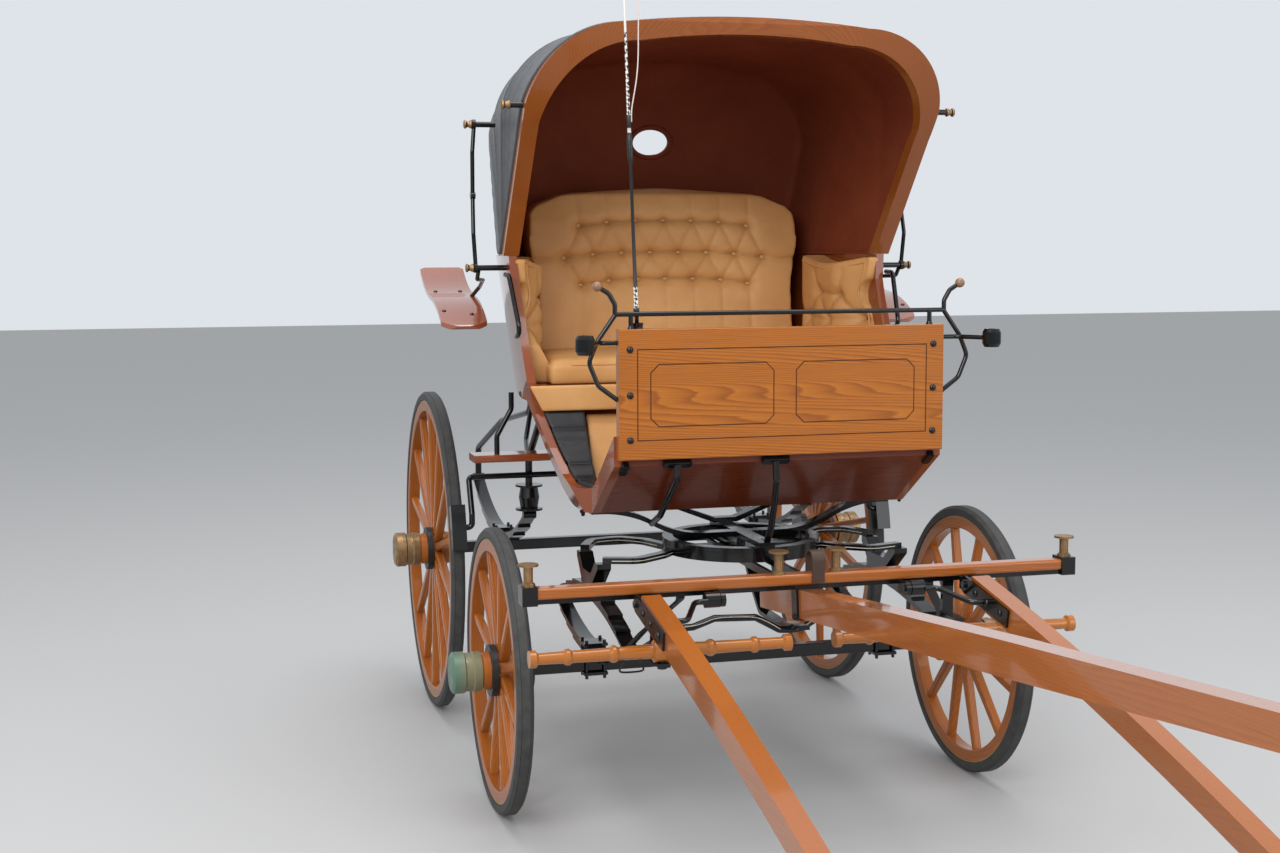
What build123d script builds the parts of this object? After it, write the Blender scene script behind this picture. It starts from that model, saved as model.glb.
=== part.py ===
from build123d import *
from math import asin, cos, pi, radians, sin, tan
import os

# A light four-wheeled horse-drawn carriage with a leather hood, in millimetres.
# X runs to the carriage's left, Y to the rear and Z up; it drives towards -Y.
# Places along the carriage are measured rearwards from the front axle.

# Running gear
wheelbase = 1161
track = 1380
front_wheel_radius = 385
rear_wheel_radius = 522
front_spokes = 12
rear_spokes = 14
tyre_width = 42
tyre_depth = 28
felloe_width = 38
felloe_depth = 36
spoke_root = (28, 26)
spoke_tip = (24, 20)
nave_radius = 58
nave_inner = 66
nave_outer = 70
band_radius = 70
hub_reach = 130
cap_radius = 56
axle_bar = 36
collar_radius = 60
arm_radius = 23
running_gap = 0.1
seat_gap = 0.3

# Springs
spring_width = 40
leaf = 7
leaf_count = 4
front_spring_x = 425
front_half_span = 400
front_rise = 68
rear_spring_x = 456
rear_half_span = 455
rear_rise = 118
clip_plate = 8
perch_height = 80

# Turntable
ring_radius = 205
ring_width = 30
ring_height = 10
bed_height = 16
turn_gap = 0.5
kingpin_radius = 12

# Splinter bar, trees, pole and shafts
splinter_half = 692
splinter_y = -520
splinter_z = 697
splinter_width = 44
splinter_height = 28
strap_height = 11
bolt_head = 25
bolt_stem = 11.5
bolt_height = 58
tree_half = 330
tree_x = 388
tree_radius = 20
tree_z = 545
pole_width = 58
pole_depth = 71
pole_slope = 6.0
pole_tip = 3050
pole_end = 242
head_half = 31
head_lip = 4
shaft_x = 430
shaft_width = 47
shaft_depth = 62
shaft_slope = 10
shaft_reach = 2330
hinge_y = -578
hinge_z = 668
plate = 6

# Body
dash_half = 440
dash_front = -352
dash_thickness = 28
dash_bottom = 986
dash_height = 330
panel = 24
board = 18
floor_z = 814
seat_z = 1134
box_z = 1090
belt_z = 1495
back_y = 1035
toe_y = -85
foot_half = 447

# Hood
skin = 18
rim_width = 45
rim_depth = 40

rear_reach = wheelbase + rear_wheel_radius
front_axle_y = (pole_tip - rear_reach) / 2


def place(x, y, z):
    """A point, with y measured from the front axle."""
    return Vector(x, front_axle_y + y, z)


def side_plane(x=0):
    """An upright plane along the carriage: local x runs to the rear, local y up."""
    return Plane(origin=(x, front_axle_y, 0), x_dir=(0, 1, 0), z_dir=(1, 0, 0))


def cross_plane(y=0):
    """An upright plane across the carriage: local x runs to its left, local y up."""
    return Plane(origin=(0, front_axle_y + y, 0), x_dir=(1, 0, 0), z_dir=(0, -1, 0))


def level_plane(z=0):
    """A level plane: local x runs to the carriage's left, local y to the rear."""
    return Plane(origin=(0, front_axle_y, z), x_dir=(1, 0, 0), z_dir=(0, 0, 1))


def turned(centre, outward, profile):
    """A turned solid on a cross axis: the profile lists (distance outwards, radius)."""
    with BuildPart() as solid:
        with BuildSketch(Plane(origin=centre, x_dir=(outward, 0, 0), z_dir=(0, -outward, 0))):
            with BuildLine():
                Polyline(*profile, close=True)
            make_face()
        revolve(axis=Axis(centre, (outward, 0, 0)))
    return solid.part


def turned_up(centre, profile):
    """A turned solid on an upright axis: the profile lists (radius, height)."""
    with BuildPart() as solid:
        with BuildSketch(Plane(origin=centre, x_dir=(1, 0, 0), z_dir=(0, -1, 0))):
            with BuildLine():
                Polyline(*profile, close=True)
            make_face()
        revolve(axis=Axis(centre, (0, 0, 1)))
    return solid.part


def rod(points, radius, bend=0):
    """A round iron through the points, with a bend of that radius at each inner one."""
    stations = [place(*point) for point in points]
    with BuildPart() as iron:
        with BuildLine() as run:
            if bend:
                FilletPolyline(*stations, radius=bend)
            else:
                Polyline(*stations)
        with BuildSketch(Plane(origin=run.line @ 0, z_dir=run.line % 0)):
            Circle(radius)
        sweep(path=run.wires()[0])
    return iron.part


def upright_plate(x, outline, thickness):
    """A plate in an upright plane along the carriage, centred on x."""
    with BuildPart() as flat:
        with BuildSketch(side_plane(x - thickness / 2)):
            with BuildLine():
                Polyline(*outline, close=True)
            make_face()
        extrude(amount=thickness)
    return flat.part


def block(x_range, y_range, z_range, round_off=0):
    """A rectangular bar between two limits each way, its lengthwise edges eased."""
    with BuildPart() as bar:
        with BuildSketch(level_plane(z_range[0])):
            with Locations(((x_range[0] + x_range[1]) / 2, (y_range[0] + y_range[1]) / 2)):
                Rectangle(x_range[1] - x_range[0], y_range[1] - y_range[0])
        extrude(amount=z_range[1] - z_range[0])
        if round_off:
            fillet(bar.edges().filter_by(Axis.X), radius=round_off)
    return bar.part


def joined(pieces):
    """Several pieces of one node."""
    with BuildPart() as whole:
        add(pieces)
    return whole.part


def both_sides(pieces):
    """The pieces of the left side with their mirror images."""
    return joined(pieces + [piece.mirror(Plane.YZ) for piece in pieces])


nodes = {}


def keep(name, part):
    """Give a finished piece its name."""
    part.label = name
    nodes[name] = part


# Wheels
def spoked_wheel(side, y, radius, spokes):
    """The wooden part of a wheel: turned nave, tapered spokes and felloe."""
    centre = place(side * track / 2, y, radius)
    bore = arm_radius + running_gap
    felloe_inner = radius - tyre_depth - felloe_depth
    nave = [(-nave_inner, bore), (-nave_inner, 46), (-32, nave_radius), (9, nave_radius),
            (9, 52), (44, 50), (50, 46), (nave_outer, 46), (nave_outer, bore)]
    with BuildPart() as wood:
        with BuildSketch(Plane(origin=centre, x_dir=(side, 0, 0), z_dir=(0, -side, 0))):
            with BuildLine():
                Polyline(*nave, close=True)
            make_face()
            with Locations((0, felloe_inner + felloe_depth / 2)):
                RectangleRounded(felloe_width, felloe_depth, 3)
        revolve(axis=Axis(centre, (side, 0, 0)))
        for number in range(spokes):
            angle = 2 * pi * (number + 0.5) / spokes
            outwards = Vector(0, cos(angle), sin(angle))
            across = Vector(0, -sin(angle), cos(angle))
            root = centre + outwards * (nave_radius - 8) + Vector(side * -9, 0, 0)
            tip = centre + outwards * (felloe_inner + 5)
            for station, size in ((root, spoke_root), (tip, spoke_tip)):
                with BuildSketch(Plane(origin=station, x_dir=across, z_dir=tip - root)):
                    RectangleRounded(size[1], size[0], 6)
            loft()
    return wood.part


def rubber_tyre(side, y, radius):
    """A solid rubber tyre round the felloe."""
    centre = place(side * track / 2, y, radius)
    half = tyre_width / 2
    base = radius - tyre_depth
    section = [(-half, base), (-half, radius - 8), (8 - half, radius), (half - 8, radius),
               (half, radius - 8), (half, base)]
    return turned(centre, side, section)


def hub_metal(side, y, radius):
    """The black band outside the spokes, and the brass ring and cap."""
    centre = place(side * track / 2, y, radius)
    band = [(9, 52), (9, band_radius), (26, band_radius), (26, 51.1)]
    cap = [(50, 46), (50, 53), (70, 55), (74, 52), (92, 52), (96, cap_radius),
           (hub_reach - 6, cap_radius), (hub_reach, cap_radius - 8), (hub_reach, 0),
           (nave_outer + 12, 0), (nave_outer + 12, 40), (nave_outer, 40), (nave_outer, 46)]
    return joined([turned(centre, side, band), turned(centre, side, cap)])


wheel_ends = [("front", 0, front_wheel_radius, front_spokes),
              ("rear", wheelbase, rear_wheel_radius, rear_spokes)]
hands = [("left", 1), ("right", -1)]
for end, axle_y, radius, spokes in wheel_ends:
    for hand, side in hands:
        keep(f"{end}_wheel_{hand}", spoked_wheel(side, axle_y, radius, spokes))
        keep(f"{end}_tyre_{hand}", rubber_tyre(side, axle_y, radius))
        keep(f"{end}_hub_{hand}", hub_metal(side, axle_y, radius))


# Axles
def axle(y, radius):
    """An iron axle with a collar and a round arm at each end."""
    bed_half = track / 2 - nave_inner - 1
    arm_end = track / 2 + nave_outer + 8
    arm = [(bed_half - 22, 0), (bed_half - 22, collar_radius), (bed_half, collar_radius),
           (bed_half, arm_radius), (arm_end, arm_radius), (arm_end, 0)]
    ends = [turned(place(0, y, radius), side, arm) for side in (1, -1)]
    with BuildPart() as bar:
        with BuildSketch(side_plane(20 - bed_half)):
            with Locations((y, radius)):
                RectangleRounded(axle_bar, axle_bar, 4)
        extrude(amount=2 * bed_half - 40)
        add(ends)
    return bar.part


keep("front_axle", axle(0, front_wheel_radius))
keep("rear_axle", axle(wheelbase, rear_wheel_radius))


# Springs
def leaf_pack(x, centre_y, crown_z, half_span, rise, up):
    """Half an elliptic spring: each leaf outside the main one is shorter."""
    bow = (half_span ** 2 + rise ** 2) / (2 * rise)
    reach = asin(half_span / bow)
    with BuildPart() as pack:
        with BuildSketch(side_plane(x - spring_width / 2)):
            for number in range(leaf_count):
                half = reach * (1 - 0.2 * number)
                inner, outer = [
                    [(centre_y + size * sin(turn), crown_z + up * (bow - size * cos(turn)))
                     for turn in (-half, 0, half)]
                    for size in (bow + number * leaf, bow + (number + 1) * leaf)]
                with BuildLine():
                    ThreePointArc(*inner)
                    Line(inner[2], outer[2])
                    ThreePointArc(*reversed(outer))
                    Line(outer[0], inner[0])
                make_face()
        extrude(amount=spring_width)
    return pack.part


def cross_pin(x, y, z, width, radius):
    """A round pin or rolled eye lying across the carriage."""
    with BuildPart() as roll:
        with BuildSketch(side_plane(x - width / 2)):
            with Locations((y, z)):
                Circle(radius)
        extrude(amount=width)
    return roll.part


stack = leaf * leaf_count
front_low_z = front_wheel_radius + axle_bar / 2 + clip_plate + stack
front_eye_z = front_low_z + front_rise
front_high_z = front_eye_z + front_rise
rear_low_z = rear_wheel_radius + axle_bar / 2 + clip_plate + stack
rear_eye_z = rear_low_z + rear_rise
front_low = leaf_pack(front_spring_x, 0, front_low_z, front_half_span, front_rise, 1)
front_high = leaf_pack(front_spring_x, 0, front_high_z, front_half_span, front_rise, -1)
front_eyes = [cross_pin(front_spring_x, y, front_eye_z, spring_width + 10, 14)
              for y in (-front_half_span, front_half_span)]
keep("front_springs", both_sides([front_low, front_high] + front_eyes))
rear_low = leaf_pack(rear_spring_x, wheelbase, rear_low_z, rear_half_span, rear_rise, 1)
rear_eyes = [cross_pin(rear_spring_x, wheelbase + y, rear_eye_z, spring_width, 14)
             for y in (-rear_half_span, rear_half_span)]
keep("rear_springs", both_sides([rear_low] + rear_eyes))


def axle_clip(x, y, axle_z, spring_z):
    """The plates and bolts that hold a spring down on an axle."""
    bolts = []
    low = axle_z - axle_bar / 2 - clip_plate
    high = spring_z + 0.8 + clip_plate
    for bolt_x in (-25, 25):
        for bolt_y in (-25, 25):
            bolts.append(turned_up(place(x + bolt_x, y + bolt_y, low - 10),
                                   [(0, 0), (4.5, 0), (4.5, high - low + 18), (0, high - low + 18)]))
    plates = [block((x - 33, x + 33), (y - 33, y + 33), (base, base + clip_plate))
              for base in (low, axle_z + axle_bar / 2, spring_z + 0.8)]
    return joined(bolts + plates)


keep("front_clips", both_sides([axle_clip(front_spring_x, 0, front_wheel_radius, front_low_z)]))
keep("rear_clips", both_sides([axle_clip(rear_spring_x, wheelbase, rear_wheel_radius, rear_low_z)]))

# Turntable
spring_top = front_high_z + stack
bed_z = spring_top + perch_height
ring_z = bed_z + bed_height
top_ring_z = ring_z + ring_height + turn_gap
arm_width = 26


def flat_bar(points, width, height, bend):
    """A flat iron through the points, level across, with a bend at each inner one."""
    with BuildPart() as iron:
        with BuildLine() as run:
            FilletPolyline(*[place(*point) for point in points], radius=bend)
        start = run.line @ 0
        along = run.line % 0
        with BuildSketch(Plane(origin=start, x_dir=along.cross(Vector(0, 0, 1)), z_dir=along)):
            Rectangle(width, height)
        sweep(path=run.wires()[0], normal=(0, 0, 1))
    return iron.part


front_arm = [(ring_radius - 10, -8), (250, -78), (335, -140), (front_spring_x, -112)]
rear_arm = [(ring_radius - 10, 20), (238, 140), (300, 200), (385, 182), (front_spring_x, 92)]
perch = [(-128, bed_z), (-128, bed_z - 14), (-60, spring_top + 14), (-60, spring_top),
         (60, spring_top), (60, spring_top + 14), (108, bed_z - 16), (108, bed_z),
         (76, bed_z), (40, bed_z - 38), (-50, bed_z - 38), (-96, bed_z)]
with BuildPart() as bed_plate:
    with BuildSketch(level_plane(bed_z)):
        Circle(ring_radius + ring_width / 2)
        Circle(ring_radius - ring_width / 2, mode=Mode.SUBTRACT)
        Rectangle(2 * ring_radius, 52)
        Rectangle(52, 2 * ring_radius)
        Circle(kingpin_radius + running_gap, mode=Mode.SUBTRACT)
    extrude(amount=bed_height)
    with BuildSketch(level_plane(ring_z)):
        Circle(ring_radius + ring_width / 2)
        Circle(ring_radius - ring_width / 2, mode=Mode.SUBTRACT)
    extrude(amount=ring_height)
with BuildPart() as bed_arms:
    with BuildSketch(level_plane(bed_z)):
        for arm in (front_arm, rear_arm):
            with BuildLine():
                FilletPolyline(*arm, radius=40)
            trace(line_width=arm_width)
    extrude(amount=bed_height)
bed_side = both_sides([bed_arms.part, upright_plate(front_spring_x, perch, 38)])
keep("lower_bed", joined([bed_plate.part, bed_side]))

# Fore frame
futchell_x = pole_width / 2 + 6
splinter_back = splinter_y + splinter_width / 2
splinter_front = splinter_y - splinter_width / 2
splinter_low = splinter_z - splinter_height / 2
splinter_top = splinter_z + splinter_height / 2
strap_low = splinter_low - strap_height
futchell = [(splinter_back + 0.2, 700), (splinter_back + 0.2, strap_low + 4), (-400, bed_z - 20),
            (150, bed_z - 20), (190, bed_z - 8), (190, bed_z), (-380, bed_z), (-440, 700)]
eye_stay = flat_bar([(front_spring_x + 12, -front_half_span, front_eye_z + 8),
                     (front_spring_x - 20, -440, front_eye_z + 60), (330, splinter_y + 4, strap_low - 12),
                     (330, splinter_y + 4, strap_low)], 24, 10, 12)
cross_iron = rod([(front_spring_x - 24, -front_half_span, front_eye_z + 4), (310, -400, 561),
                  (262, -400, 562), (205, -400, 581), (95, -400, 577), (30, -400, 541),
                  (0, -400, 539)], 9, 14)
cradle_depth = 12
with BuildPart() as fore_irons:
    add(both_sides([upright_plate(futchell_x, futchell, 12), eye_stay, cross_iron]))
    with BuildSketch(side_plane(-15)):
        with BuildLine():
            FilletPolyline((-30, bed_z - cradle_depth / 2), (-62, bed_z - cradle_depth / 2), (-118, 612),
                           (-196, 544), (-330, 541), (-440, 558), (-500, 565), radius=36)
        trace(line_width=cradle_depth)
    extrude(amount=30)
    add(nodes["front_springs"], mode=Mode.SUBTRACT)
keep("fore_irons", fore_irons.part)

# Splinter bar
cap_width = 38
keep("splinter_bar", block((-splinter_half, splinter_half), (splinter_front, splinter_back),
                           (splinter_low, splinter_top), 7))
lug_radius = 18
pin_radius = 9
brace_bore = 8
tree_bore = 7
tree_y = hinge_y + 22
sleeve_x = (250, 287)


def strap_lug(x, width, bore):
    """An eye on the front of the splinter bar's iron for a cross pin."""
    with BuildPart() as lug:
        with BuildSketch(side_plane(x - width / 2)):
            with Locations((hinge_y, hinge_z)):
                Circle(lug_radius)
            with Locations(((hinge_y + splinter_front + 6) / 2, hinge_z - 2)):
                Rectangle(splinter_front + 6 - hinge_y, 30)
            if bore:
                with Locations((hinge_y, hinge_z)):
                    Circle(bore, mode=Mode.SUBTRACT)
        extrude(amount=width)
    return lug.part


hanger = [(tree_y - 22, tree_z + 28), (tree_y - 22, tree_z + 38), (splinter_y + 10, tree_z + 38),
          (splinter_y + 10, strap_low), (splinter_y + 22, strap_low), (splinter_y + 22, tree_z - 38),
          (tree_y - 22, tree_z - 38), (tree_y - 22, tree_z - 28), (splinter_y + 10, tree_z - 28),
          (splinter_y + 10, tree_z + 28)]
tree_pin = turned_up(place(tree_x, tree_y, tree_z - 44),
                     [(0, 0), (12, 0), (12, 6), (tree_bore, 6), (tree_bore, 82), (0, 82)])
brace_pin = cross_pin((sleeve_x[0] + sleeve_x[1]) / 2 - 8, hinge_y, hinge_z,
                      sleeve_x[1] - sleeve_x[0] + 16, brace_bore)
end_cap = block((splinter_half, splinter_half + cap_width), (splinter_front - 4, splinter_back + 4),
                (strap_low - 2, splinter_top + 5))
half_strap = block((0, splinter_half), (splinter_front + 6, splinter_back - 6), (strap_low, splinter_low))
shaft_lug = strap_lug(shaft_x, shaft_width - 1, pin_radius + running_gap)
brace_lug = strap_lug(sleeve_x[0] - 7, 12, 0)
keep("splinter_irons", both_sides([half_strap, end_cap, shaft_lug, brace_lug, brace_pin, tree_pin,
                                   upright_plate(tree_x, hanger, 30)]))


def roller_bolt(x, base_z, height):
    """A turned bolt that the traces loop over."""
    return turned_up(place(x, splinter_y, base_z),
                     [(0, 0), (17, 0), (17, 5), (bolt_stem, 9), (bolt_stem, height - 8),
                      (bolt_head, height - 5), (bolt_head, height), (0, height)])


cap_rise = 5
outer_bolt = roller_bolt(splinter_half + 18, splinter_top + cap_rise, bolt_height - cap_rise)
inner_bolt = roller_bolt(76, splinter_top, bolt_height)
keep("roller_bolts", both_sides([outer_bolt, inner_bolt]))


# Swingle trees
def swingle_tree(side):
    """A turned bar hung at its middle, with knuckles like a cane's."""
    half = [(0, 27), (22, 27), (26, tree_radius - 2), (110, tree_radius - 4), (118, tree_radius + 1),
            (126, tree_radius + 1), (134, tree_radius - 4), (225, tree_radius - 5), (232, tree_radius),
            (240, tree_radius), (247, tree_radius - 5), (tree_half - 22, tree_radius - 6),
            (tree_half - 16, tree_radius + 1), (tree_half, tree_radius + 1)]
    profile = [(-tree_half, 0)] + [(-x, r) for x, r in reversed(half)] + half[1:] + [(tree_half, 0)]
    with BuildPart() as tree:
        add(turned(place(side * tree_x, tree_y, tree_z), side, profile))
        with BuildSketch(level_plane(tree_z - 40)):
            with Locations((side * tree_x, tree_y)):
                Circle(tree_bore + running_gap)
        extrude(amount=80, mode=Mode.SUBTRACT)
    return tree.part


for hand, side in hands:
    keep(f"swingle_tree_{hand}", swingle_tree(side))

# Pole
rise = radians(pole_slope)
pole_along = Vector(0, -cos(rise), sin(rise))
pole_up = Vector(0, sin(rise), cos(rise))
pole_start = place(0, splinter_y, strap_low - 3 - pole_depth / 2 / cos(rise))
pole_length = (pole_tip + splinter_y - head_half * sin(rise)) / cos(rise) - head_lip
pole_back = pole_end + splinter_y
with BuildPart() as pole:
    with BuildSketch(Plane(origin=pole_start + Vector(pole_width / 2, 0, 0),
                           x_dir=pole_along, z_dir=(-1, 0, 0))):
        with BuildLine():
            Polyline((pole_back, -pole_depth / 2), (1100, -pole_depth / 2), (pole_length, -24),
                     (pole_length, 24), (1100, pole_depth / 2), (pole_back, pole_depth / 2), close=True)
        make_face()
    extrude(amount=pole_width)
    with BuildSketch(Plane(origin=pole_start - pole_up * 60, x_dir=pole_along, z_dir=pole_up)):
        with BuildLine():
            Polyline((pole_back, -pole_width / 2), (900, -pole_width / 2), (pole_length, -22),
                     (pole_length, 22), (900, pole_width / 2), (pole_back, pole_width / 2), close=True)
        make_face()
    extrude(amount=120, mode=Mode.INTERSECT)
keep("pole", pole.part)

# Shafts
drop = radians(shaft_slope)
shaft_along = Vector(0, -cos(drop), -sin(drop))
shaft_up = Vector(0, -sin(drop), cos(drop))


def shaft(side):
    """A wooden shaft, straight from its root and bent down to the ground at its tip."""
    root = place(side * shaft_x, hinge_y, hinge_z)
    start = 24
    half = shaft_depth / 2

    def along(distance, height):
        spot = root + shaft_along * distance + shaft_up * height
        return (spot.Y - front_axle_y, spot.Z)

    tip_low = (hinge_y - shaft_reach, 0)
    tip_high = (tip_low[0] - 14, 34)
    down = (-cos(drop), -sin(drop))
    with BuildPart() as wood:
        with BuildSketch(side_plane(side * shaft_x - shaft_width / 2)):
            with BuildLine():
                Line(along(start, -half), along(start, half))
                TangentArc(along(start, half), tip_high, tangent=down)
                Line(tip_high, tip_low)
                TangentArc(along(start, -half), tip_low, tangent=down)
            make_face()
        extrude(amount=shaft_width)
    return wood.part


iron_reach = 235


def shaft_irons(side):
    """The two cheek plates of a shaft, its hinge pin and its side brace."""
    pin = place(side * shaft_x, hinge_y, hinge_z)
    pieces = []
    for cheek in (-1, 1):
        inner = side * shaft_x + cheek * shaft_width / 2
        with BuildPart() as cheek_plate:
            with BuildSketch(Plane(origin=(inner + max(cheek, 0) * plate, pin.Y, pin.Z),
                                   x_dir=shaft_along, z_dir=(-1, 0, 0))):
                Circle(22)
                with Locations((iron_reach / 2, 0)):
                    Rectangle(iron_reach, 44)
            extrude(amount=plate)
        pieces.append(cheek_plate.part)
    pieces.append(cross_pin(side * shaft_x, hinge_y, hinge_z, shaft_width + 4 * plate, pin_radius))
    inner_face = shaft_x - shaft_width / 2 - plate
    sleeve = turned(place(0, hinge_y, hinge_z), side,
                    [(sleeve_x[0] + 1, brace_bore + running_gap), (sleeve_x[0] + 1, 19), (sleeve_x[1], 19),
                     (sleeve_x[1], brace_bore + running_gap)])
    far = 120
    far_y, far_z = hinge_y - far * cos(drop), hinge_z - far * sin(drop)
    brace = rod([(side * (sleeve_x[1] - 3), hinge_y - 16, hinge_z),
                 (side * (sleeve_x[1] + 30), hinge_y - 16, hinge_z),
                 (side * (inner_face - 34), far_y, far_z), (side * (inner_face + 2), far_y, far_z)], 7, 22)
    return joined(pieces + [sleeve, brace])


for hand, side in hands:
    keep(f"shaft_{hand}", shaft(side))
    keep(f"shaft_irons_{hand}", shaft_irons(side))


# Body
def body_block(inset):
    """The space between the body's flared and swelling sides, drawn in by the inset."""
    plans = [(floor_z - 60, 560, 482, 347), (floor_z + 740, 575, 573, 474)]
    with BuildPart() as form:
        for height, front_half, middle_half, back_half in plans:
            with BuildSketch(level_plane(height)):
                with BuildLine():
                    Line((0, -420), (foot_half - inset, -420))
                    Line((foot_half - inset, -420), (foot_half - inset, toe_y))
                    Line((foot_half - inset, toe_y), (front_half - inset, 150))
                    ThreePointArc((front_half - inset, 150), (middle_half - inset, 560),
                                  (back_half - inset, 1100))
                    Line((back_half - inset, 1100), (0, 1100))
                    mirror(about=Plane.YZ)
                make_face()
        loft(ruled=True)
        with BuildSketch(cross_plane(1100)):
            with BuildLine():
                Line((0, floor_z - 40), (444 - inset, floor_z - 40))
                ThreePointArc((444 - inset, floor_z - 40), (563 - inset, 1140), (599 - inset, 1530))
                Line((599 - inset, 1530), (0, 1530))
                Line((0, 1530), (0, floor_z - 40))
            make_face()
            mirror(about=Plane.YZ)
        extrude(amount=1540, mode=Mode.INTERSECT)
    return form.part


outer_form = body_block(0)
inner_form = body_block(panel)
fitted_form = body_block(panel + seat_gap)
toe_slope = (floor_z - dash_bottom) / (toe_y - dash_front)
dash_back = dash_front + dash_thickness
toe_low = dash_bottom + toe_slope * dash_thickness
with BuildPart() as side_panels:
    with BuildSketch(side_plane(-700)):
        with BuildLine():
            Polyline((367, belt_z), (back_y, belt_z), (back_y, 1130), (back_y - 18, box_z), (255, box_z),
                     (195, 1013), (135, 880))
            ThreePointArc((135, 880), (100, 832), (40, floor_z))
            Polyline((40, floor_z), (toe_y, floor_z), (dash_back, toe_low), (dash_back, 1045), (-120, 898))
            ThreePointArc((-120, 898), (-35, 877), (50, 905))
            Polyline((50, 905), (110, 970), (170, 1060), (177, 1147))
            ThreePointArc((177, 1147), (295, 1300), (360, 1420))
            Line((360, 1420), (367, belt_z))
        make_face()
    extrude(amount=1400)
    add(outer_form, mode=Mode.INTERSECT)
    add(inner_form, mode=Mode.SUBTRACT)
keep("side_panels", side_panels.part)


def across_body(outline):
    """A board between the side panels, with this outline from the side."""
    with BuildPart() as fitted:
        with BuildSketch(side_plane(-700)):
            with BuildLine():
                Polyline(*outline, close=True)
            make_face()
        extrude(amount=1400)
        add(fitted_form, mode=Mode.INTERSECT)
    return fitted.part


keep("toe_board", across_body([(dash_back, toe_low), (toe_y, floor_z), (toe_y, floor_z + board),
                               (dash_back, toe_low + board * 1.15)]))
keep("foot_board", across_body([(toe_y, floor_z), (40, floor_z), (100, 832), (135, 880), (195, 1013),
                                (255, box_z), (231, box_z), (177, 1018), (118, 892), (88, 847),
                                (36, floor_z + board), (toe_y, floor_z + board)]))
keep("seat_deck", across_body([(231, box_z), (back_y - panel, box_z), (back_y - panel, seat_z),
                               (170.3, seat_z), (170.3, seat_z - 22), (224, seat_z - 22)]))
keep("back_panel", across_body([(back_y - panel, box_z), (back_y - 18, box_z), (back_y, 1130),
                                (back_y, belt_z), (back_y - panel, belt_z)]))
groove = 3
groove_depth = 2
frame_edge = 47
octagon = (29, 359, 82, 242)
octagon_cut = 22
with BuildPart() as dash_board:
    add(block((-dash_half, dash_half), (dash_front, dash_back), (dash_bottom, dash_bottom + dash_height), 3))
    with BuildSketch(cross_plane(dash_front)):
        with Locations((0, dash_bottom + dash_height / 2 - 1)):
            Rectangle(2 * (dash_half - frame_edge), dash_height - 2 * frame_edge - 4)
            Rectangle(2 * (dash_half - frame_edge - groove), dash_height - 2 * frame_edge - 4 - 2 * groove,
                      mode=Mode.SUBTRACT)
        left, right, low, high = octagon
        for inset, mode in ((0, Mode.ADD), (groove, Mode.SUBTRACT)):
            with BuildSketch(mode=Mode.PRIVATE) as eight_sided:
                Rectangle(right - left - 2 * inset, high - low - 2 * inset)
                chamfer(eight_sided.vertices(), length=octagon_cut - inset * 0.59)
            with Locations((-(left + right) / 2, dash_bottom + (low + high) / 2),
                           ((left + right) / 2, dash_bottom + (low + high) / 2)):
                add(eight_sided.sketch, mode=mode)
    extrude(amount=-groove_depth, mode=Mode.SUBTRACT)
keep("dash_board", dash_board.part)

# Seat
with BuildPart() as seat_cushion:
    with BuildSketch(level_plane(seat_z + seat_gap)):
        with BuildLine():
            Polyline((-483, 240), (483, 240), (483, 299), (472, 299), (448, 705), (-448, 705), (-472, 299),
                     (-483, 299), close=True)
        make_face()
    extrude(amount=70)
    fillet(seat_cushion.edges().group_by(Axis.Z)[-1], radius=22)
keep("seat_cushion", seat_cushion.part)

with BuildPart() as seat_back:
    with BuildSketch(side_plane(-440)):
        with BuildLine():
            Polyline((715, seat_z + seat_gap), (745, 1400), (765, 1590), (800, 1685), (840, 1706),
                     (880, 1700), (895, 1650), (880, seat_z + seat_gap), close=True)
        make_face()
    extrude(amount=880)
    with BuildSketch(cross_plane(900)):
        with BuildLine():
            Polyline((-440, 1100), (440, 1100), (440, 1625), (410, 1660), (340, 1685), (0, 1707),
                     (-340, 1685), (-410, 1660), (-440, 1625), close=True)
        make_face()
    extrude(amount=300, mode=Mode.INTERSECT)
    with BuildSketch(level_plane(seat_z)):
        with BuildLine():
            Polyline((-440, 700), (440, 700), (424, 900), (-424, 900), close=True)
        make_face()
    extrude(amount=700, mode=Mode.INTERSECT)
keep("seat_back", seat_back.part)

with BuildPart() as arm_pads:
    with BuildSketch(side_plane(-700)):
        with BuildLine():
            Line((712, seat_z + seat_gap), (300, seat_z + seat_gap))
            Line((300, seat_z + seat_gap), (300, 1240))
            ThreePointArc((300, 1240), (360, 1310), (374, 1340))
            ThreePointArc((374, 1340), (402, 1378), (374, 1420))
            Line((374, 1420), (362, 1490))
            ThreePointArc((362, 1490), (530, 1466), (712, 1494))
            Line((712, 1494), (712, seat_z + seat_gap))
        make_face()
    extrude(amount=1400)
    add(fitted_form, mode=Mode.INTERSECT)
    with BuildSketch(level_plane(1000)):
        with BuildLine():
            Polyline((-480, 200), (480, 200), (445, 800), (-445, 800), close=True)
        make_face()
    extrude(amount=600, mode=Mode.SUBTRACT)
keep("arm_pads", arm_pads.part)

with BuildPart() as seat_fall:
    with BuildSketch(cross_plane(170)):
        with BuildLine():
            Polyline((-526, 1067), (526, 1067), (562, 1138), (-562, 1138), close=True)
        make_face()
    extrude(amount=16)
keep("seat_fall", seat_fall.part)

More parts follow.
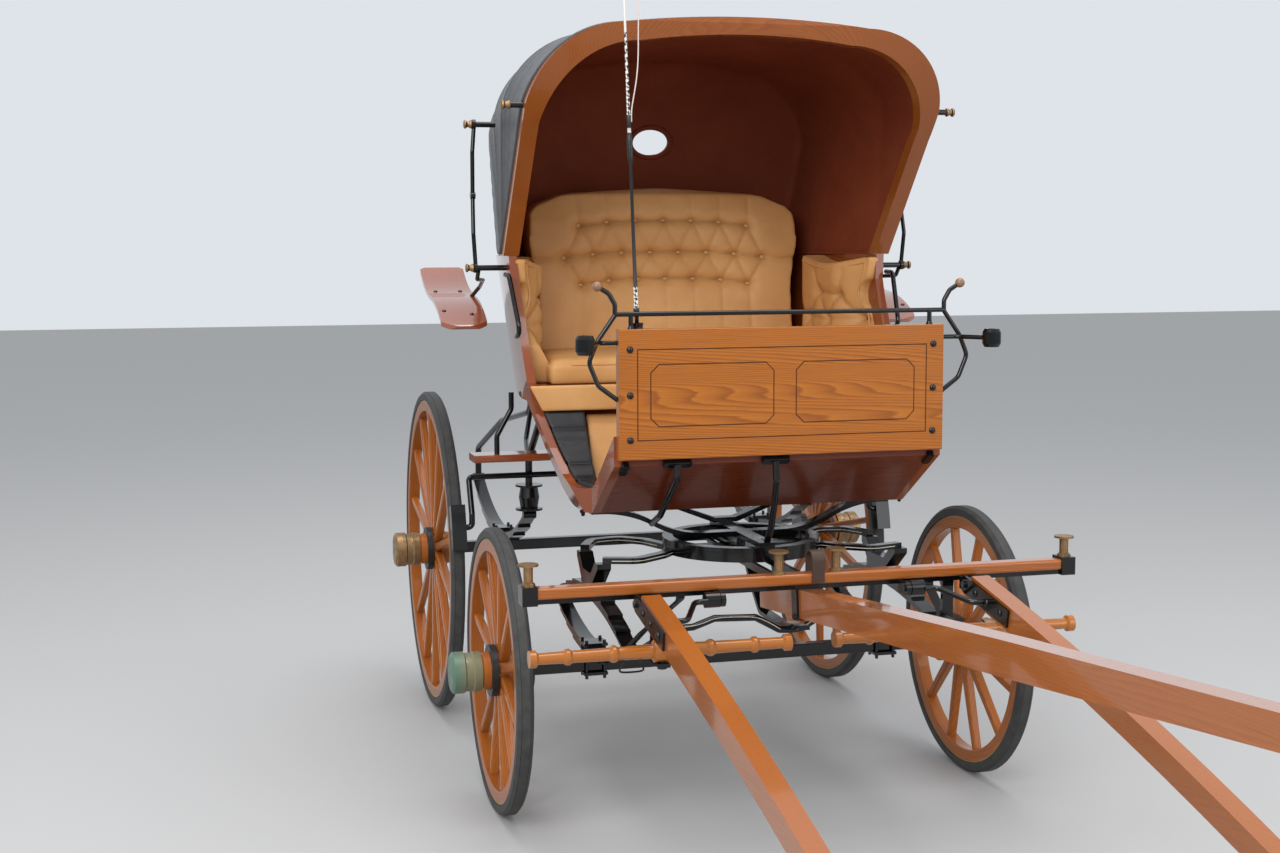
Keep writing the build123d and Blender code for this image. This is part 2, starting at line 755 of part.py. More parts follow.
with BuildPart() as rocker_pads:
    with BuildSketch(side_plane(-700)):
        with BuildLine():
            Polyline((203, 1066), (176, 1018.5), (117, 892.5), (87.5, 847.5), (35.5, floor_z + board + 0.3),
                     (-60, floor_z + board + 0.3), (-90, 868), (-40, 888), (30, 900), (90, 968), (163, 1066),
                     close=True)
        make_face()
    extrude(amount=1400)
    add(fitted_form, mode=Mode.INTERSECT)
    with BuildSketch(level_plane(700)):
        Rectangle(810, 900)
    extrude(amount=600, mode=Mode.SUBTRACT)
keep("rocker_pads", rocker_pads.part)

keep("heel_pad", joined([upright_plate(0, [(199.5, 1048.8), (176.5, 1018.4), (117.5, 892.4), (103.5, 871.3),
                                           (93, 878), (106, 898), (166, 1024), (190, 1056)], 796)]))

# Hood
hood_stations = [(-80, 592, 594, 2126), (400, 590, 602, 2140), (1040, 487, 516, 2090)]


def arch(base_half, shoulder_half, crown, low):
    """The outline of the hood across the carriage."""
    with BuildSketch() as outline:
        with BuildLine():
            Line((0, low), (base_half, low))
            Line((base_half, low), (shoulder_half, crown - 230))
            ThreePointArc((shoulder_half, crown - 230), (shoulder_half - 61, crown - 106),
                          (shoulder_half - 255, crown - 20))
            ThreePointArc((shoulder_half - 255, crown - 20), (0, crown), (255 - shoulder_half, crown - 20))
            ThreePointArc((255 - shoulder_half, crown - 20), (61 - shoulder_half, crown - 106),
                          (-shoulder_half, crown - 230))
            Line((-shoulder_half, crown - 230), (-base_half, low))
            Line((-base_half, low), (0, low))
        make_face()
    return outline.sketch


def hood_form(inset, low, back):
    """The hood's space: ruled between its bows and rounded at the back."""
    with BuildPart() as form:
        for y, base_half, shoulder_half, crown in hood_stations:
            with BuildSketch(cross_plane(y)):
                add(arch(base_half - inset, shoulder_half - inset, crown - inset, low))
        loft(ruled=True)
        with BuildSketch(side_plane(-700)):
            with BuildLine():
                Line((-90, low - 10), (-90, 2200))
                Line((-90, 2200), (back - 280, 2200))
                Line((back - 280, 2200), (back - 280, 2122 - inset))
                ThreePointArc((back - 280, 2122 - inset), (back - 158, 2048 - inset), (back - 115, 1930))
                Line((back - 115, 1930), (back, belt_z))
                Line((back, belt_z), (back, low - 10))
                Line((back, low - 10), (-90, low - 10))
            make_face()
        extrude(amount=1400, mode=Mode.INTERSECT)
    return form.part


def behind_rim(shift):
    """Everything behind the rim's sloping front edge, moved back by a shift."""
    with BuildPart() as space:
        with BuildSketch(side_plane(-700)):
            with BuildLine():
                Line((1300, belt_z - 60), (367 + 50 + 1.31 * shift, belt_z - 60))
                Line((367 + 50 + 1.31 * shift, belt_z - 60), (93 + 1.31 * shift, 1818))
                ThreePointArc((93 + 1.31 * shift, 1818), (-20 + 1.1 * shift, 1968), (-76 + shift, 2110))
                Line((-76 + shift, 2110), (-76 + shift, 2250))
                Line((-76 + shift, 2250), (1300, 2250))
                Line((1300, 2250), (1300, belt_z - 60))
            make_face()
        extrude(amount=1400)
    return space.part


rim_space = behind_rim(0)
cover_space = behind_rim(rim_depth)
hood_outside = hood_form(0, belt_z + 0.3, back_y)
hood_inside = hood_form(skin, belt_z - 20, back_y - skin)
with BuildPart() as hood_cover:
    add(hood_outside)
    add(cover_space, mode=Mode.INTERSECT)
    add(hood_inside, mode=Mode.SUBTRACT)
    with BuildSketch(cross_plane(back_y + 50)):
        with Locations((0, 1854)):
            Ellipse(58, 38)
    extrude(amount=200, mode=Mode.SUBTRACT)
keep("hood_cover", hood_cover.part)

with BuildPart() as hood_rim:
    with BuildSketch(cross_plane(470)):
        add(arch(592, 594, 2126, belt_z + 0.3))
    extrude(amount=550)
    with BuildSketch(cross_plane(480)):
        add(arch(592 - rim_width, 594 - rim_width, 2126 - rim_width, belt_z - 20))
    extrude(amount=570, mode=Mode.SUBTRACT)
    add(rim_space, mode=Mode.INTERSECT)
    add(cover_space, mode=Mode.SUBTRACT)
keep("hood_rim", hood_rim.part)

# Hood irons
bow_bolts = [(430, 1869, 600, 690), (430, 1461, 560, 690)]


def bow_bolt(y, z, start, reach):
    """A bolt through a bow, with a turned knob outside."""
    return turned(place(0, y, z), 1, [(start, 0), (start, 8), (reach - 22, 8), (reach - 22, 11),
                                      (reach - 10, 7), (reach - 6, 11), (reach, 11), (reach, 0)])


prop = rod([(662, 430, 1858), (668, 425, 1790), (664, 452, 1668), (668, 425, 1560), (662, 430, 1472)], 6, 30)
with BuildPart() as hood_irons_left:
    add([bow_bolt(*bolt) for bolt in bow_bolts])
    add(prop)
    add(cross_pin(662, 430, 1869, 10, 14))
    add(cross_pin(662, 430, 1461, 10, 14))
    add(cross_pin(664, 450, 1668, 14, 10))
    add(hood_outside, mode=Mode.SUBTRACT)
    add(outer_form, mode=Mode.SUBTRACT)
keep("hood_irons", both_sides([hood_irons_left.part, bow_bolt(56, 1896, 594, 652)]))

# Dash rail
rail_y = dash_front + dash_thickness / 2
rail_z = dash_bottom + dash_height + 37
rail_radius = 6
scroll_low = rod([(dash_half, rail_y, rail_z - 215), (490, rail_y, rail_z - 178), (514, rail_y, rail_z - 119),
                  (492, rail_y, rail_z - 67), (446, rail_y, rail_z - 2)], rail_radius, 30)
scroll_high = rod([(446, rail_y, rail_z - 2), (446, rail_y, rail_z + 25), (462, rail_y, rail_z + 52),
                   (491, rail_y, rail_z + 70)], rail_radius, 18)
rail_post = turned_up(place(405, rail_y, dash_bottom + dash_height),
                      [(0, 0), (rail_radius + 3, 0), (rail_radius, 8), (rail_radius, 37), (0, 37)])
lamp_bore = 10
lamp_x = 543
lamp_y = -422
lamp_z = rail_z - 71
lamp_arm = rod([(dash_half, rail_y, lamp_z), (486, rail_y, lamp_z), (lamp_x - 16, lamp_y + 14, lamp_z)],
               rail_radius, 25)
lamp_socket = turned_up(place(lamp_x, lamp_y, lamp_z - 24),
                        [(0, 0), (19, 0), (24, 9), (24, 39), (19, 48), (0, 48)])
with BuildPart() as rail_left:
    add([scroll_low, scroll_high, rail_post, lamp_arm, lamp_socket])
    add(rod([(0, rail_y, rail_z), (446, rail_y, rail_z)], rail_radius))
    with Locations(place(491, rail_y, rail_z + 70)):
        Sphere(12)
    with BuildSketch(Plane(origin=place(lamp_x, lamp_y, lamp_z + 30))):
        Circle(lamp_bore)
    extrude(amount=-60, mode=Mode.SUBTRACT)
    add(nodes["dash_board"], mode=Mode.SUBTRACT)
keep("dash_rail", both_sides([rail_left.part]))

# Grab handles
with BuildPart() as handle_left:
    add(rod([(586, 369, 1442), (586, 320, 1440), (572, 238, 1285), (572, 284, 1270)], 7, 22))
    add(side_panels.part, mode=Mode.SUBTRACT)
handle = handle_left.part.solids().sort_by(SortBy.VOLUME)[-1]
keep("grab_handles", both_sides([handle]))

# Splash boards
board_x = (614, 750)
board_low = (508, 1281)
board_mid = (730, 1362)
board_high = (952, 1447)
board_lean = 15
with BuildPart() as splash_left:
    with BuildSketch(side_plane(board_x[0])):
        with BuildLine():
            ThreePointArc(board_low, (600, 1316 + board_lean), board_mid)
            ThreePointArc(board_mid, (850, 1406 - board_lean), board_high)
            offset(amount=12, side=Side.LEFT)
        make_face()
    extrude(amount=board_x[1] - board_x[0])
    with BuildSketch(level_plane(1200)):
        with BuildLine():
            Line((board_x[0], 522), (board_x[0], 938))
            ThreePointArc((board_x[0], 938), (sum(board_x) / 2, 956), (board_x[1], 938))
            Line((board_x[1], 938), (board_x[1], 522))
            ThreePointArc((board_x[1], 522), (sum(board_x) / 2, 500), (board_x[0], 522))
        make_face()
    extrude(amount=300, mode=Mode.INTERSECT)
keep("splash_boards", both_sides([splash_left.part]))
with BuildPart() as splash_irons_left:
    add(rod([(540, 505, 1356), (598, 505, 1354), (622, 512, 1330), (640, 530, 1290), (690, 560, 1290),
             (690, 560, 1315)], 6, 12))
    add(rod([(654, 430, 1452), (654, 452, 1428), (618, 560, 1424), (610, 660, 1402), (640, 760, 1345),
             (690, 790, 1345), (690, 790, 1386)], 6, 16))
    add(splash_left.part, mode=Mode.SUBTRACT)
    add(hood_irons_left.part, mode=Mode.SUBTRACT)
    add(outer_form, mode=Mode.SUBTRACT)
irons_left = list(splash_irons_left.part.solids().sort_by(SortBy.VOLUME)[-2:])
keep("splash_irons", both_sides(irons_left))

# Upper bed
top_ring_height = 12
bed_top = top_ring_z + top_ring_height
bed_bar = 14
bed_half_depth = 21
with BuildPart() as upper_bed:
    with BuildSketch(level_plane(top_ring_z)):
        Circle(ring_radius + ring_width / 2)
        Circle(ring_radius - ring_width / 2, mode=Mode.SUBTRACT)
    extrude(amount=top_ring_height)
    with BuildSketch(cross_plane(bed_half_depth)):
        with BuildLine():
            for side, over in ((1, bed_bar), (1, 0), (-1, bed_bar), (-1, 0)):
                turning = (side * 258, (bed_top + floor_z - bed_bar) / 2 + over)
                TangentArc((side * 110, bed_top + over), turning, tangent=(side, 0))
                TangentArc((side * 406, floor_z - bed_bar + over), turning, tangent=(-side, 0))
                Line((0, bed_top + over), (side * 110, bed_top + over))
                Line((side * 406, floor_z - bed_bar + over), (side * 432, floor_z - bed_bar + over))
            for side in (-1, 1):
                Line((side * 432, floor_z - bed_bar), (side * 432, floor_z))
        make_face()
    extrude(amount=2 * bed_half_depth)
    with BuildSketch(level_plane(bed_top)):
        Rectangle(44, 2 * ring_radius + ring_width)
    extrude(amount=bed_bar)
    pin_top = bed_top - bed_z + 30
    add(turned_up(place(0, 0, bed_z - 22), [(0, 0), (22, 0), (22, 21), (kingpin_radius, 21),
                                            (kingpin_radius, pin_top), (0, pin_top)]))
    with BuildSketch(cross_plane(175)):
        with BuildLine():
            Polyline((-250, floor_z), (-205, floor_z), (-30, bed_top + 2 * bed_bar),
                     (30, bed_top + 2 * bed_bar), (205, floor_z), (250, floor_z), (250, floor_z - 10),
                     (210, floor_z - 10), (34, bed_top + bed_bar), (-34, bed_top + bed_bar),
                     (-210, floor_z - 10), (-250, floor_z - 10), close=True)
        make_face()
    extrude(amount=36)
keep("upper_bed", upper_bed.part)

# Dash irons
def toe_under(y):
    """The height of the toe board's underside."""
    return dash_bottom + toe_slope * (y - dash_front)


foot_y = -330
foot_z = toe_under(foot_y)
side_stay = rod([(-282, foot_y, foot_z), (-281, foot_y + 4, foot_z - 40), (-268, -120, 806),
                 (-262, -16, 768)], 9, 20)
middle_stay = rod([(-17, foot_y, foot_z), (-14, foot_y, foot_z - 60), (0, -275, 850), (8, -226, 775),
                   (8, -190, bed_top + 7), (8, -160, bed_top + 7)], 9, 22)
with BuildPart() as dash_irons:
    for iron in (side_stay, middle_stay):
        add(iron)
    for x in (-282, -17):
        with BuildSketch(Plane(origin=place(x, foot_y, foot_z), x_dir=(1, 0, 0), z_dir=(0, toe_slope, -1))):
            RectangleRounded(74, 24, 6)
        extrude(amount=7, both=True)
    for x in (-418, 418):
        with BuildSketch(Plane(origin=place(x, foot_y + 18, toe_under(foot_y + 18)), x_dir=(1, 0, 0),
                               z_dir=(0, toe_slope, -1))):
            RectangleRounded(20, 52, 6)
        extrude(amount=7, both=True)
    add(across_body([(dash_back, toe_low), (toe_y, floor_z), (toe_y, floor_z + 200),
                     (dash_back, toe_low + 200)]), mode=Mode.SUBTRACT)
    add(side_panels.part, mode=Mode.SUBTRACT)
    add(upper_bed.part, mode=Mode.SUBTRACT)
    add(dash_board.part, mode=Mode.SUBTRACT)
keep("dash_irons", dash_irons.part)

# Spring hangers
rear_front_eye = wheelbase - rear_half_span
rear_back_eye = wheelbase + rear_half_span
eye_top = rear_eye_z + 14
barrel = turned_up(place(rear_spring_x, rear_front_eye, eye_top),
                   [(0, 0), (42, 0), (42, 6), (27, 8), (32, 40), (27, 72), (42, 74), (42, 80), (0, 80)])
front_hanger = rod([(rear_spring_x, rear_front_eye, eye_top + 78), (rear_spring_x, rear_front_eye, 870),
                    (rear_spring_x, 560, 980), (rear_spring_x, 470, 1040), (rear_spring_x, 470, box_z)],
                   11, 30)
back_hanger = rod([(rear_spring_x, rear_back_eye, eye_top), (rear_spring_x, rear_back_eye, 800),
                   (425, 1300, 930), (395, 960, 990), (395, 960, box_z)], 11, 40)
hanger_tie = rod([(rear_spring_x, rear_front_eye, 850), (425, 900, 905), (395, 960, 1000)], 8, 60)
keep("spring_hangers", both_sides([barrel, front_hanger, back_hanger, hanger_tie]))

# Brake gear
brake_y = rear_front_eye - 11 - 9
brake_z = 820
brake_gap = 10
shoe_depth = 34
shoe_x = (668, 712)


def round_wheel(distance, turn):
    """A spot in front of the rear wheel, by its distance from the tyre and its height in degrees."""
    reach = rear_wheel_radius + distance
    return (wheelbase - reach * cos(radians(turn)), rear_wheel_radius + reach * sin(radians(turn)))


shoe_centre = round_wheel(brake_gap + shoe_depth / 2, 16)
shaft_half = rod([(0, brake_y, brake_z), (648, brake_y, brake_z), (648, shoe_centre[0], shoe_centre[1] + 40),
                  (648, *shoe_centre), (684, *shoe_centre)], 9, 14)
with BuildPart() as shoe:
    with BuildSketch(side_plane(shoe_x[0])):
        with BuildLine():
            ThreePointArc(*[round_wheel(brake_gap, turn) for turn in (9, 16, 23)])
            ThreePointArc(*[round_wheel(brake_gap + shoe_depth, turn) for turn in (9, 16, 23)])
            Line(round_wheel(brake_gap, 9), round_wheel(brake_gap + shoe_depth, 9))
            Line(round_wheel(brake_gap, 23), round_wheel(brake_gap + shoe_depth, 23))
        make_face()
    extrude(amount=shoe_x[1] - shoe_x[0])
keep("brake_gear", both_sides([shaft_half, shoe.part]))

# Side steps
step_x = (405, 660)
step_z = 885
step_top = step_z + 22
keep("step_boards", both_sides([block(step_x, (500, 600), (step_z, step_top), 6)]))
keep("step_irons", both_sides([
    rod([(585, 545, step_top), (585, 545, 960), (540, 545, 1040), (540, 545, box_z)], 8, 25),
    rod([(420, 550, step_top), (420, 550, box_z)], 8)]))

# Whip and its socket
whip_base = place(-374, dash_back + 16, 1130)
whip_lean = radians(2.1)
whip_along = Vector(-sin(whip_lean), 0, cos(whip_lean))
across_whip = Vector(cos(whip_lean), 0, sin(whip_lean))
whip_length = 1200


def leaning(profile):
    """A turned solid on the whip's axis: the profile lists (radius, distance from the base)."""
    with BuildPart() as solid:
        with BuildSketch(Plane(origin=whip_base, x_dir=across_whip, z_dir=(0, -1, 0))):
            with BuildLine():
                Polyline(*profile, close=True)
            make_face()
        revolve(axis=Axis(whip_base, whip_along))
    return solid.part


with BuildPart() as whip_socket:
    add(leaning([(0, 0), (15, 0), (15, 190), (17, 200), (8, 200), (8, 20), (0, 20)]))
    add(block((whip_base.X - 14, whip_base.X + 8), (dash_back, dash_back + 4), (1200, 1250)))
keep("whip_socket", whip_socket.part)
binding = 700
keep("whip", leaning([(0, 20.2), (7.7, 20.2), (7.7, 640), (9, 646), (9, binding), (4.5, binding),
                      (1.8, whip_length), (0, whip_length)]))

# Whip thong, from the tip of the quill down to the binding
thong_radius = 1.6
thong_route = [(0, 1200), (0, 1218), (8, 1236), (24, 1240), (36, 1226), (38, 1198), (36.5, 1150),
               (38.5, 1093), (36, 1035), (36.5, 977), (33, 920), (31, 862), (25, 808), (15, 762),
               (6.8, 726), (6.8, binding)]
thong_points = [whip_base + across_whip * sideways + whip_along * along for sideways, along in thong_route]
thong_radii = []
for before, point, after in zip(thong_points, thong_points[1:], thong_points[2:]):
    turn = (point - before).get_angle(after - point)
    shorter = min((point - before).length, (after - point).length)
    thong_radii.append(0.45 * shorter / tan(radians(turn / 2)))
print("Thong radii:", [round(radius, 1) for radius in thong_radii])
with BuildPart() as whip_thong:
    with BuildLine() as thong_line:
        FilletPolyline(*thong_points, radius=thong_radii)
    with BuildSketch(Plane(origin=thong_line.line @ 0, z_dir=thong_line.line % 0)):
        Circle(thong_radius)
    sweep(path=thong_line.wires()[0])
print("Thong length:", round(thong_line.wires()[0].length, 1))
keep("whip_thong", whip_thong.part)

# Pole head
head_along = pole_length - 70
with BuildPart() as pole_head:
    with BuildSketch(Plane(origin=pole_start + pole_along * head_along, x_dir=(1, 0, 0), z_dir=pole_along)):
        Rectangle(60, 2 * head_half)
    extrude(amount=70 + head_lip)
    add(pole.part, mode=Mode.SUBTRACT)
keep("pole_head", pole_head.part)
with BuildPart() as pole_strap:
    with BuildSketch(Plane(origin=pole_start + pole_along * -18, x_dir=(1, 0, 0), z_dir=pole_along)):
        with Locations((0, 2.5)):
            Rectangle(pole_width + 2 * plate, pole_depth + 17)
    extrude(amount=36)
    add(pole.part, mode=Mode.SUBTRACT)
    add(block((-60, 60), (-560, -480), (strap_low, splinter_top)), mode=Mode.SUBTRACT)
keep("splinter_irons", joined([nodes["splinter_irons"], pole_strap.part]))

# Leather loop on the splinter bar
loop_thickness = 4
loop_top = splinter_top + 30
with BuildPart() as bar_loop:
    with BuildSketch(side_plane(4)):
        with BuildLine():
            for spread in (0, loop_thickness):
                front, back = splinter_front - spread, splinter_back + spread
                middle = (splinter_front + splinter_back) / 2
                Line((front, splinter_low + 4), (front, loop_top))
                ThreePointArc((front, loop_top), (middle, loop_top + 22 + spread), (back, loop_top))
                Line((back, loop_top), (back, splinter_low + 4))
            Line((splinter_front, splinter_low + 4), (splinter_front - loop_thickness, splinter_low + 4))
            Line((splinter_back, splinter_low + 4), (splinter_back + loop_thickness, splinter_low + 4))
        make_face()
    extrude(amount=32)
    add(nodes["fore_irons"], mode=Mode.SUBTRACT)
keep("bar_loop", bar_loop.part)

# Write every piece
os.makedirs("parts", exist_ok=True)
for name, part in nodes.items():
    export_step(part, f"parts/{name}.step")
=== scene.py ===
import math

import bmesh
import bpy
from mathutils import Matrix, Vector
from mathutils.bvhtree import BVHTree


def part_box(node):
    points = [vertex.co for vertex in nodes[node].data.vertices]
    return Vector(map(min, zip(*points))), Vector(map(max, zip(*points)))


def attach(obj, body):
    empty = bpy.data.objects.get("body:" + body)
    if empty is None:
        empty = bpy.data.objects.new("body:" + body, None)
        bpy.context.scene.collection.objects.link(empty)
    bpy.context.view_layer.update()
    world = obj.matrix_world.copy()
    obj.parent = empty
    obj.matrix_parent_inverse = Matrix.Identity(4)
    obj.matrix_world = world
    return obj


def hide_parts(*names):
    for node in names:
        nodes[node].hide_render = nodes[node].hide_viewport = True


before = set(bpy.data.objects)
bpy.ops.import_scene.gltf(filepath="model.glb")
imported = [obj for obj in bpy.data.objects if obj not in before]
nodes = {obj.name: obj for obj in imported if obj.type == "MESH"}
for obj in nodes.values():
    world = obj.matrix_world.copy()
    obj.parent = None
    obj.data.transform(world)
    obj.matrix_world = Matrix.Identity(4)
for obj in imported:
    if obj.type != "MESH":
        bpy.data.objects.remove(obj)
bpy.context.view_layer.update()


# Places are measured rearwards from the front axle, as in the part's source
low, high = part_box("front_axle")
axle_y = (low.y + high.y) / 2
low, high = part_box("front_tyre_left")
wheel_reach = (low.x + high.x) / 2
wheelbase = 1.161
# Of each wheel: its middle across and up, and the radius inside its felloe
front_wheel = (axle_y, 0.385, 0.317)
rear_wheel = (axle_y + wheelbase, 0.522, 0.454)
# From a felloe's inside to the line painted beside the tyre
felloe_to_line = 0.0365


def place(x, y, z):
    """A point, with y measured from the front axle."""
    return Vector((x, axle_y + y, z))


# Materials
def new_material(name):
    """A material with its shader, and a function that adds a node to it."""
    material = bpy.data.materials.new(name)
    material.use_nodes = True
    tree = material.node_tree
    shader = tree.nodes["Principled BSDF"]

    def add(kind, inputs=None, **settings):
        node = tree.nodes.new(kind)
        for key, value in settings.items():
            setattr(node, key, value)
        for key, value in (inputs or {}).items():
            if isinstance(value, bpy.types.NodeSocket):
                tree.links.new(value, node.inputs[key])
            else:
                node.inputs[key].default_value = value
        return node

    return material, shader, add, tree.links.new


def ramp(add, factor, stops):
    """A colour ramp through (position, colour) stops."""
    node = add("ShaderNodeValToRGB", {"Fac": factor})
    elements = node.color_ramp.elements
    while len(elements) < len(stops):
        elements.new(0.5)
    for element, (position, colour) in zip(elements, stops):
        element.position = position
        element.color = (*colour, 1)
    return node.outputs["Color"]


def spread(add, vector, scale, turn=(0, 0, 0)):
    """Coordinates stretched by a scale on each axis."""
    return add("ShaderNodeMapping", {"Vector": vector, "Rotation": turn, "Scale": scale}).outputs["Vector"]


def noise(add, vector, scale, detail=4, roughness=0.55, distortion=0.0):
    """A noise value."""
    inputs = {"Vector": vector, "Scale": scale, "Detail": detail, "Roughness": roughness,
              "Distortion": distortion}
    return add("ShaderNodeTexNoise", inputs).outputs["Fac"]


def mixed(add, factor, first, second):
    """Two colours mixed by a factor."""
    node = add("ShaderNodeMix", data_type="RGBA")
    for index, value in ((0, factor), (6, first), (7, second)):
        if isinstance(value, bpy.types.NodeSocket):
            node.id_data.links.new(value, node.inputs[index])
        else:
            node.inputs[index].default_value = value if index == 0 else (*value, 1)
    return node.outputs[2]


def levels(add, value, low, high, out_low=0.0, out_high=1.0):
    """A value's range mapped to another range, and clamped."""
    node = add("ShaderNodeMapRange", {0: value, 1: low, 2: high, 3: out_low, 4: out_high})
    return node.outputs[0]


def bump(add, link, shader, height, distance, strength=1.0, normal=None):
    """A height made into the shader's bump."""
    inputs = {"Height": height, "Distance": distance, "Strength": strength}
    if normal is not None:
        inputs["Normal"] = normal
    node = add("ShaderNodeBump", inputs)
    link(node.outputs["Normal"], shader.inputs["Normal"])
    return node.outputs["Normal"]


def maths(add, operation, *values, clamp=False):
    """The value that an operation makes of others."""
    return add("ShaderNodeMath", dict(enumerate(values)), operation=operation, use_clamp=clamp).outputs[0]


def beyond(add, value, limit):
    """1 where a value is above a limit, 0 below."""
    return maths(add, "GREATER_THAN", value, limit)


def outwards(add, place_of):
    """The distance from the carriage's middle line."""
    return maths(add, "ABSOLUTE", add("ShaderNodeSeparateXYZ", {0: place_of}).outputs["X"])


def varnished(name, light, mid, dark, grain, figure=0.5, coat=0.6, round_hub=None, round_arch=None,
              specular=0.3, coat_ior=1.4):
    """Varnished wood with its grain along an axis: x, y or z, out from a hub, or along an arch."""
    material, shader, add, link = new_material(name)
    place_of = add("ShaderNodeTexCoord").outputs["Object"]
    if round_hub or round_arch:
        centre_across, centre_up, inner = round_hub or round_arch
        parts = add("ShaderNodeSeparateXYZ", {0: place_of}).outputs
        across = maths(add, "SUBTRACT", parts["Y" if round_hub else "X"], centre_across)
        up = maths(add, "SUBTRACT", parts["Z"], centre_up)
        in_plane = add("ShaderNodeCombineXYZ", {0: across, 1: up}).outputs[0]
        reach = add("ShaderNodeVectorMath", {0: in_plane}, operation="LENGTH").outputs["Value"]
        arc = maths(add, "MULTIPLY", maths(add, "ARCTAN2", up, across), inner)
        depth = parts["X" if round_hub else "Y"]
        place_of = add("ShaderNodeCombineXYZ", {0: arc, 1: reach, 2: depth}).outputs[0]
        if round_hub:
            spoke_place = add("ShaderNodeCombineXYZ", {0: reach, 1: arc, 2: depth}).outputs[0]
            on_rim = beyond(add, reach, inner)
            place_of = add("ShaderNodeMix", {0: on_rim, 4: spoke_place, 5: place_of},
                           data_type="VECTOR").outputs[1]
    stretch = {"x": (0.06, 1, 1), "y": (1, 0.06, 1), "z": (1, 1, 0.06)}[grain]
    long_place = spread(add, place_of, stretch)
    wander = noise(add, long_place, 5, 2)
    sideways = add("ShaderNodeCombineXYZ", {0: wander, 1: wander, 2: wander}).outputs[0]
    ring_place = add("ShaderNodeVectorMath", {0: sideways, 1: (0.07, 0.07, 0.07), 2: long_place},
                     operation="MULTIPLY_ADD").outputs[0]
    rings = {"Vector": ring_place, "Scale": 90.0, "Distortion": 1.2, "Detail": 2.0, "Detail Scale": 2.0}
    wave = add("ShaderNodeTexWave", rings, wave_type="BANDS", bands_direction="DIAGONAL",
               wave_profile="SAW").outputs["Fac"]
    finer_stretch = tuple(0.25 * share if share < 1 else share for share in stretch)
    fibre = noise(add, spread(add, place_of, finer_stretch), 420, 3, 0.6)
    patch = noise(add, long_place, 3.5, 3)
    ringed = ramp(add, wave, [(0.0, light), (0.55, mid), (0.9, dark), (1.0, mid)])
    plain = mixed(add, levels(add, patch, 0.3, 0.7), light, mid)
    colour = mixed(add, figure, plain, ringed)
    colour = mixed(add, levels(add, fibre, 0.4, 0.8, 0.0, 0.2 + 0.4 * figure), colour, dark)
    if round_hub:
        painted_line = beyond(add, reach, inner + felloe_to_line)
        colour = mixed(add, painted_line, colour, (0.36, 0.25, 0.10))
    link(colour, shader.inputs["Base Color"])
    link(levels(add, fibre, 0.3, 0.8, 0.26, 0.38), shader.inputs["Roughness"])
    shader.inputs["Specular IOR Level"].default_value = specular
    shader.inputs["Coat Weight"].default_value = coat
    shader.inputs["Coat Roughness"].default_value = 0.06
    shader.inputs["Coat IOR"].default_value = coat_ior
    bump(add, link, shader, fibre, 0.0003, 0.2)
    return material


def iron(name):
    """Glossy black paint on iron, a little dusty and uneven."""
    material, shader, add, link = new_material(name)
    place_of = add("ShaderNodeTexCoord").outputs["Object"]
    dust = noise(add, place_of, 7, 5)
    grain = noise(add, place_of, 160, 3)
    paint, dusty = (0.003, 0.003, 0.0033), (0.02, 0.019, 0.018)
    link(mixed(add, levels(add, dust, 0.55, 0.85, 0.0, 0.4), paint, dusty), shader.inputs["Base Color"])
    link(levels(add, dust, 0.35, 0.75, 0.08, 0.28), shader.inputs["Roughness"])
    shader.inputs["Specular IOR Level"].default_value = 0.45
    bump(add, link, shader, grain, 0.0003, 0.2)
    return material


def brass(name, patina, black_from=0.0, black_to=0.0):
    """Old brass, browned, green where the patina is strong, and black within a band of reach."""
    material, shader, add, link = new_material(name)
    place_of = add("ShaderNodeTexCoord").outputs["Object"]
    blotch = noise(add, place_of, 38, 6, 0.65)
    fine = noise(add, place_of, 240, 4)
    reach = outwards(add, place_of)
    turning_marks = 1100.0
    turned = maths(add, "SINE", maths(add, "MULTIPLY", reach, turning_marks))
    metal = mixed(add, levels(add, blotch, 0.35, 0.7), (0.40, 0.25, 0.12), (0.17, 0.095, 0.045))
    metal = mixed(add, levels(add, turned, 0.2, 1.0, 0.0, 0.35), metal, (0.11, 0.06, 0.03))
    green = levels(add, blotch, 0.62 - patina * 0.45, 0.78 - patina * 0.4, 0.0, min(1.0, patina * 1.3))
    olive, verdigris = (0.18, 0.17, 0.095), (0.095, 0.17, 0.122)
    outer_end = levels(add, reach, wheel_reach + 0.085, wheel_reach + 0.12)
    crust = mixed(add, outer_end, olive, verdigris)
    colour = mixed(add, green, metal, crust)
    metallic = levels(add, green, 0.0, 1.0, 0.9, 0.2)
    if black_to:
        band = maths(add, "SUBTRACT", beyond(add, reach, black_from), beyond(add, reach, black_to))
        colour = mixed(add, band, colour, (0.006, 0.006, 0.006))
        metallic = maths(add, "SUBTRACT", metallic, band, clamp=True)
    link(colour, shader.inputs["Base Color"])
    link(metallic, shader.inputs["Metallic"])
    link(levels(add, blotch, 0.3, 0.75, 0.3, 0.6), shader.inputs["Roughness"])
    bump(add, link, shader, fine, 0.0004, 0.35)
    return material


